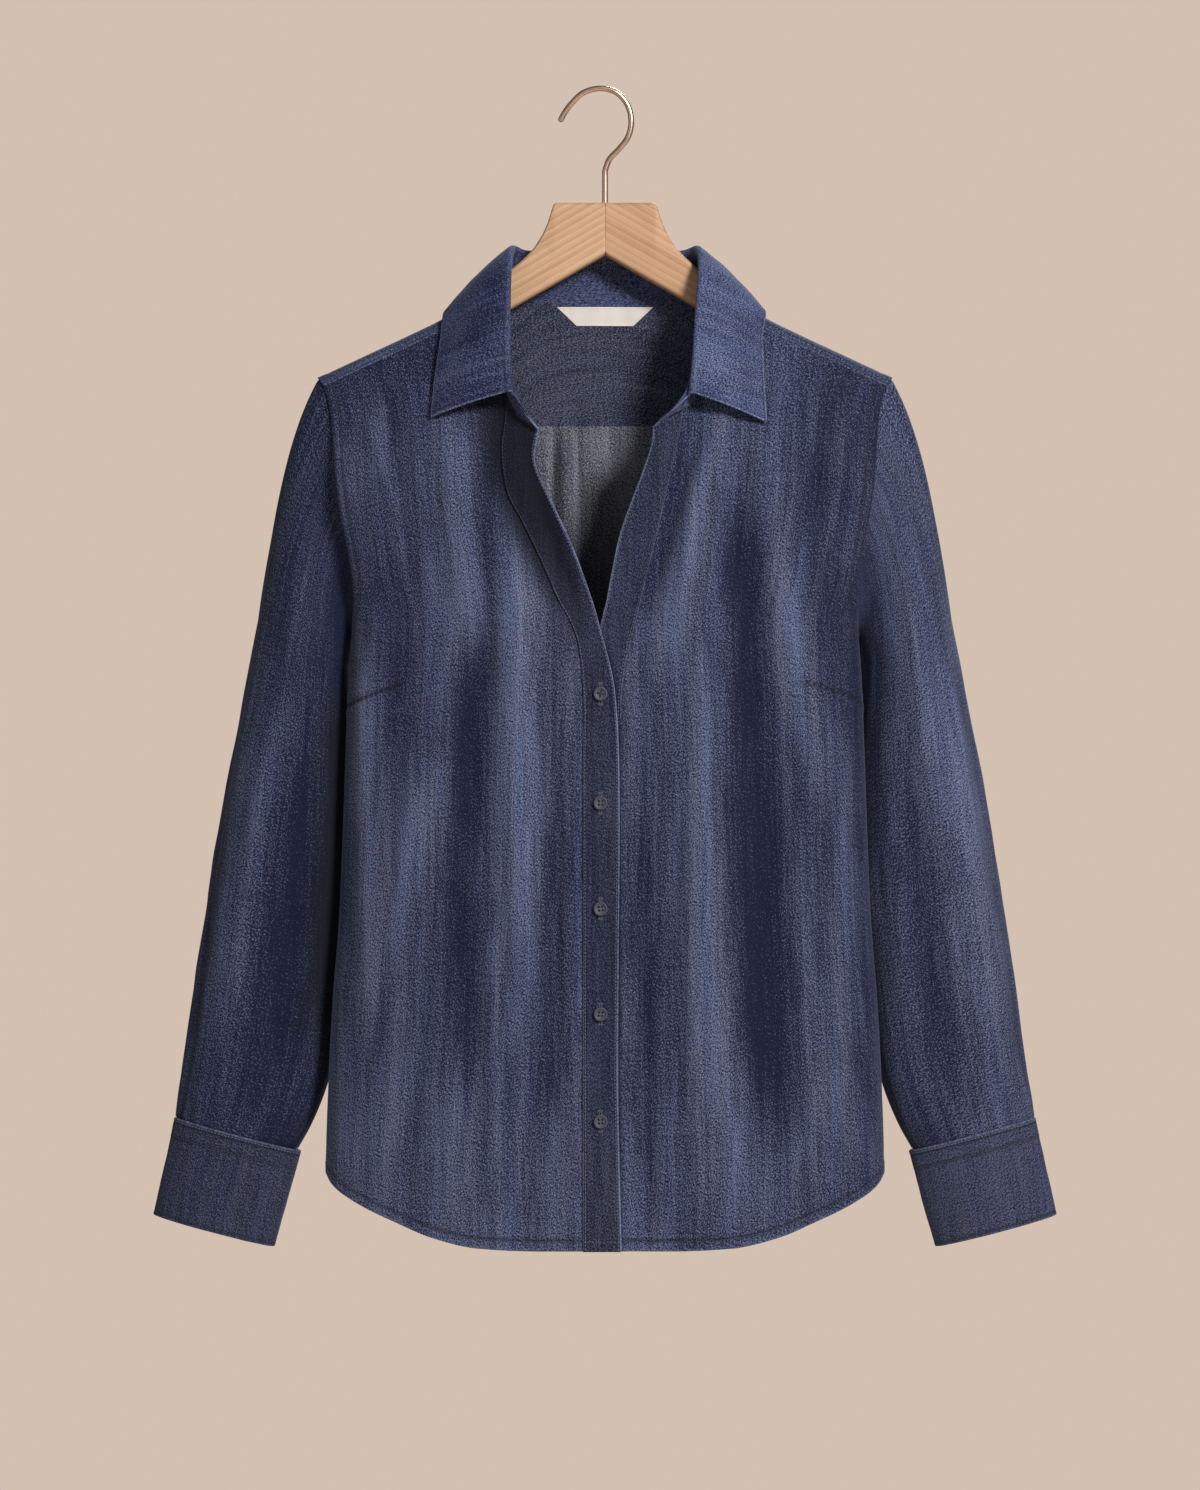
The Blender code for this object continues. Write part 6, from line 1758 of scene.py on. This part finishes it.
THREAD, PALE_THREAD, DARK_THREAD_AND_HOLE_SHADE, HOLE_THREAD, CREAM_THREAD = (thread_finish(*row) for row in (
    ("blue thread", (0.006, 0.009, 0.028), (0.040, 0.055, 0.120)),
    ("pale blue thread", (0.045, 0.062, 0.120), (0.160, 0.200, 0.320)),
    ("dark thread and hole shade", (0.004, 0.004, 0.009), (0.014, 0.014, 0.024)),
    ("buttonhole thread", (0.030, 0.034, 0.060), (0.095, 0.102, 0.150)),
    ("cream thread", (0.520, 0.450, 0.380), (0.700, 0.640, 0.570)),
))
SLATE, CREAM, GOLD = button_finish(), label_finish(), hook_finish()
# the left arm's copy is painted darker as shade
BEECH = {RIGHT: wood_finish("beech wood", (1.0, 1.0, 1.0)),
         LEFT: wood_finish("shaded beech wood", (0.91, 0.86, 0.82))}

# ---- the whole ----------------------------------------------------------------------------------

TEMPLATE = button_template()
SIDES = ((RIGHT, "right"), (LEFT, "left"))


def dress(obj, node):
    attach(obj, "root")
    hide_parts(node)
    return obj


def cloth(node, title, piece, thickness, finishes, rounds=3):
    """The wall that takes a cloth node's place."""
    return dress(wall(f"{node}_{title}", piece, thickness, finishes, rounds), node)


def sewn(node, piece, rows, thread=THREAD, title="stitches"):
    """Topstitching on a piece. rows: edge, distance from it, and the share of it that is sewn."""
    rows = [seam(piece, *row) for row in rows]
    return dress(sew(f"{node}_{title}", rows, thread), node)


def body_axes(x, z, side, out):
    """A point of a front with its outward normal."""
    step = 0.003   # longer than body_point's, so that small creases don't tip a button

    def at(px, pz):
        return body_point(px, pz, FRONT, side, out)

    across, up = at(x + step, z) - at(x - step, z), at(x, z + step) - at(x, z - step)
    return at(x, z), unit(np.cross(across, up))


fronts, bands = {}, {}
for side, title in SIDES:
    front, band = make_front(side), make_band(side)
    node = "front_" + title
    fronts[side] = cloth(node, "panel", front, CLOTH, [CHAMBRAY, INSIDE])
    sewn(node, front, [("end", ARMHOLE_STITCH, 0.54, 1.0), ("bottom", HEM_STITCH)])
    node = "front_band_" + title
    bands[side] = cloth(node, "strip", band, BAND_CLOTH, [PRESSED, PRESSED], 4)
    sewn(node, band, [("start", EDGE_STITCH), ("end", EDGE_STITCH, 0.0, 0.72),
                      ("bottom", HEM_STITCH)], PALE_THREAD)
    sewn(node, band, [("end", EDGE_STITCH, 0.72, 1.0)], THREAD, "neck_stitches")

back, yoke = make_back(), make_yoke()
back_panel = cloth("back", "panel", back, CLOTH, [CHAMBRAY, INSIDE])
sewn("back", back, [("start", ARMHOLE_STITCH, 0.72, 1.0), ("end", ARMHOLE_STITCH, 0.72, 1.0),
                    ("bottom", HEM_STITCH)])
yoke_panel = cloth("yoke", "panel", yoke, CLOTH, [CHAMBRAY, LINING])
sewn("yoke", yoke, [("start", EDGE_STITCH), ("end", EDGE_STITCH),
                    ("start", EDGE_STITCH + TWIN_STITCH), ("end", EDGE_STITCH + TWIN_STITCH),
                    ("top", ARMHOLE_STITCH, 0.0, yoke.corner - 0.01),
                    ("top", ARMHOLE_STITCH, 1.01 - yoke.corner, 1.0),
                    ("top", EDGE_STITCH, yoke.corner, 1 - yoke.corner)])

stand, fall = make_stand(), make_fall()
collar_stand = cloth("collar_stand", "band", stand, COLLAR_CLOTH, [COLLAR_BLUE, CHAMBRAY], 4)
sewn("collar_stand", stand, [("bottom", EDGE_STITCH), ("top", STAND_TOP_STITCH),
                             ("start", EDGE_STITCH), ("end", EDGE_STITCH)])
collar_fall = cloth("collar_fall", "leaf", fall, COLLAR_CLOTH, [COLLAR_BLUE, COLLAR_BLUE], 4)
sewn("collar_fall", fall, [("top", EDGE_STITCH), ("start", EDGE_STITCH, 0.25, 0.97),
                           ("end", EDGE_STITCH, 0.25, 0.97)])

sleeves, cuffs, plackets = {}, {}, {}
for side, title in SIDES:
    sleeve, cuff = make_sleeve(side), make_cuff(side)
    placket = make_sleeve_placket(sleeve)
    sleeves[side] = cloth("sleeve_" + title, "tube", sleeve, CLOTH, [CHAMBRAY, INSIDE])
    node = "sleeve_placket_" + title
    plackets[side] = cloth(node, "strip", placket, CLOTH, [CHAMBRAY, CHAMBRAY])
    sewn(node, placket, [(edge, EDGE_STITCH) for edge in ("start", "end", "bottom")])
    node = "cuff_" + title
    cuffs[side] = cloth(node, "strip", cuff, CUFF_CLOTH, [PRESSED, PRESSED], 4)
    sewn(node, cuff, [("bottom", CUFF_SECOND_ROW), ("top", EDGE_STITCH),
                      ("start", EDGE_STITCH), ("end", EDGE_STITCH)])
    sewn(node, cuff, [("bottom", EDGE_STITCH)], PALE_THREAD, "top_stitches")
    at = [CUFF_START + CUFF_TURN * 0.45 + k for k in (-0.05, 0.0, 0.05)]
    middle = oval(spline(CUFF, 3), np.array(at), OVERLAP_LIFT + CUFF_LIFT)[1]
    up = unit(np.cross(middle[2] - middle[0], np.array([0.21, 0.0, -0.98])))
    up = (up if up[1] > 0 else -up) * (side, 1, 1)
    point = middle[1] * (side, 1, 1) + up * 0.0004
    fasten("cuff_button_" + title, point, up, 0.3 * side, True, 0.0030)

for k, (z, turn) in enumerate(zip(BUTTON_HEIGHTS, BUTTON_TURNS)):
    name = f"front_button_{k + 1}"
    point, up = body_axes(BUTTON_X, z, RIGHT, TOP_LAYER)
    down = unit(np.array([0.0, 0.0, -1.0]) - up * -up[2])
    fasten(name, point + up * BUTTON_SEAT, up, turn, k == 0, 0.0028)
    rows = buttonhole(point + up * 0.00012, down, up, np.cross(up, down))
    dress(sew(name + "_hole", rows, HOLE_THREAD, *BUTTONHOLE_STITCH), name)

label = make_label()
neck_label = cloth("neck_label", "tape", label, LABEL_CLOTH, [CREAM, CREAM])
rows = [seam(label, edge, LABEL_EDGE_STITCH) for edge in ("start", "end")]
dress(sew("neck_label_stitches", rows, CREAM_THREAD, *LABEL_STITCH), "neck_label")

for side, title in SIDES:
    node = "hanger_arm_" + title
    dress(make_arm(node + "_board", side), node)
dress(make_hook(), "hanger_hook")

# ---- camera, light and floor --------------------------------------------------------------------

CAMERA_DISTANCE, CAMERA_Z = 4.5, -0.4706
VIEW_HEIGHT, SENSOR_MM = 1.0728, 36
AIM_POINT = (0.0, 0.0, -0.45)
FLOOR_Z, FLOOR_RADIUS = -1.45, 3.4

view = bpy.data.cameras.new("photo view")
view.lens = SENSOR_MM * CAMERA_DISTANCE / VIEW_HEIGHT
camera = place("photo view", view)
camera.location = (0.0, -CAMERA_DISTANCE, CAMERA_Z)
camera.rotation_euler = (math.radians(90), 0, 0)
bpy.context.scene.camera = camera

for name, at, size, power, colour in (
        ("window", (1.95, -3.15, 1.40), 1.0, 185.0, (1.0, 0.965, 0.92)),
        ("back window", (0.9, 3.0, 1.9), 1.2, 75.0, (1.0, 0.97, 0.94)),
        ("bounce", (-2.4, -2.6, 0.2), 2.2, 10.0, (0.95, 0.96, 1.0))):
    lamp = bpy.data.lights.new(name, "AREA")
    lamp.shape, lamp.size, lamp.energy, lamp.color = "DISK", size, power, colour
    light = place(name, lamp)
    light.location = at
    light.rotation_euler = (Vector(AIM_POINT) - light.location).to_track_quat("-Z", "Y").to_euler()

work = bmesh.new()
bmesh.ops.create_circle(work, cap_ends=True, segments=96, radius=FLOOR_RADIUS)
bmesh.ops.translate(work, verts=work.verts, vec=(0, 0, FLOOR_Z))
place("studio_floor", mesh_from(work, "studio_floor"), [floor_finish()])

studio = bpy.data.worlds.new("studio")
studio.use_nodes = True
sky = studio.node_tree
seen, dim = sky.nodes["Background"], sky.nodes.new("ShaderNodeBackground")
seen.inputs["Color"].default_value = (0.653, 0.530, 0.440, 1.0)
dim.inputs["Color"].default_value = (0.80, 0.76, 0.72, 1.0)
dim.inputs["Strength"].default_value = 0.20
ray, pick = sky.nodes.new("ShaderNodeLightPath"), sky.nodes.new("ShaderNodeMixShader")
sky.links.new(ray.outputs["Is Camera Ray"], pick.inputs["Fac"])
sky.links.new(dim.outputs[0], pick.inputs[1])
sky.links.new(seen.outputs[0], pick.inputs[2])
sky.links.new(pick.outputs[0], sky.nodes["World Output"].inputs["Surface"])
bpy.context.scene.world = studio
bpy.context.scene.view_settings.view_transform = "Standard"
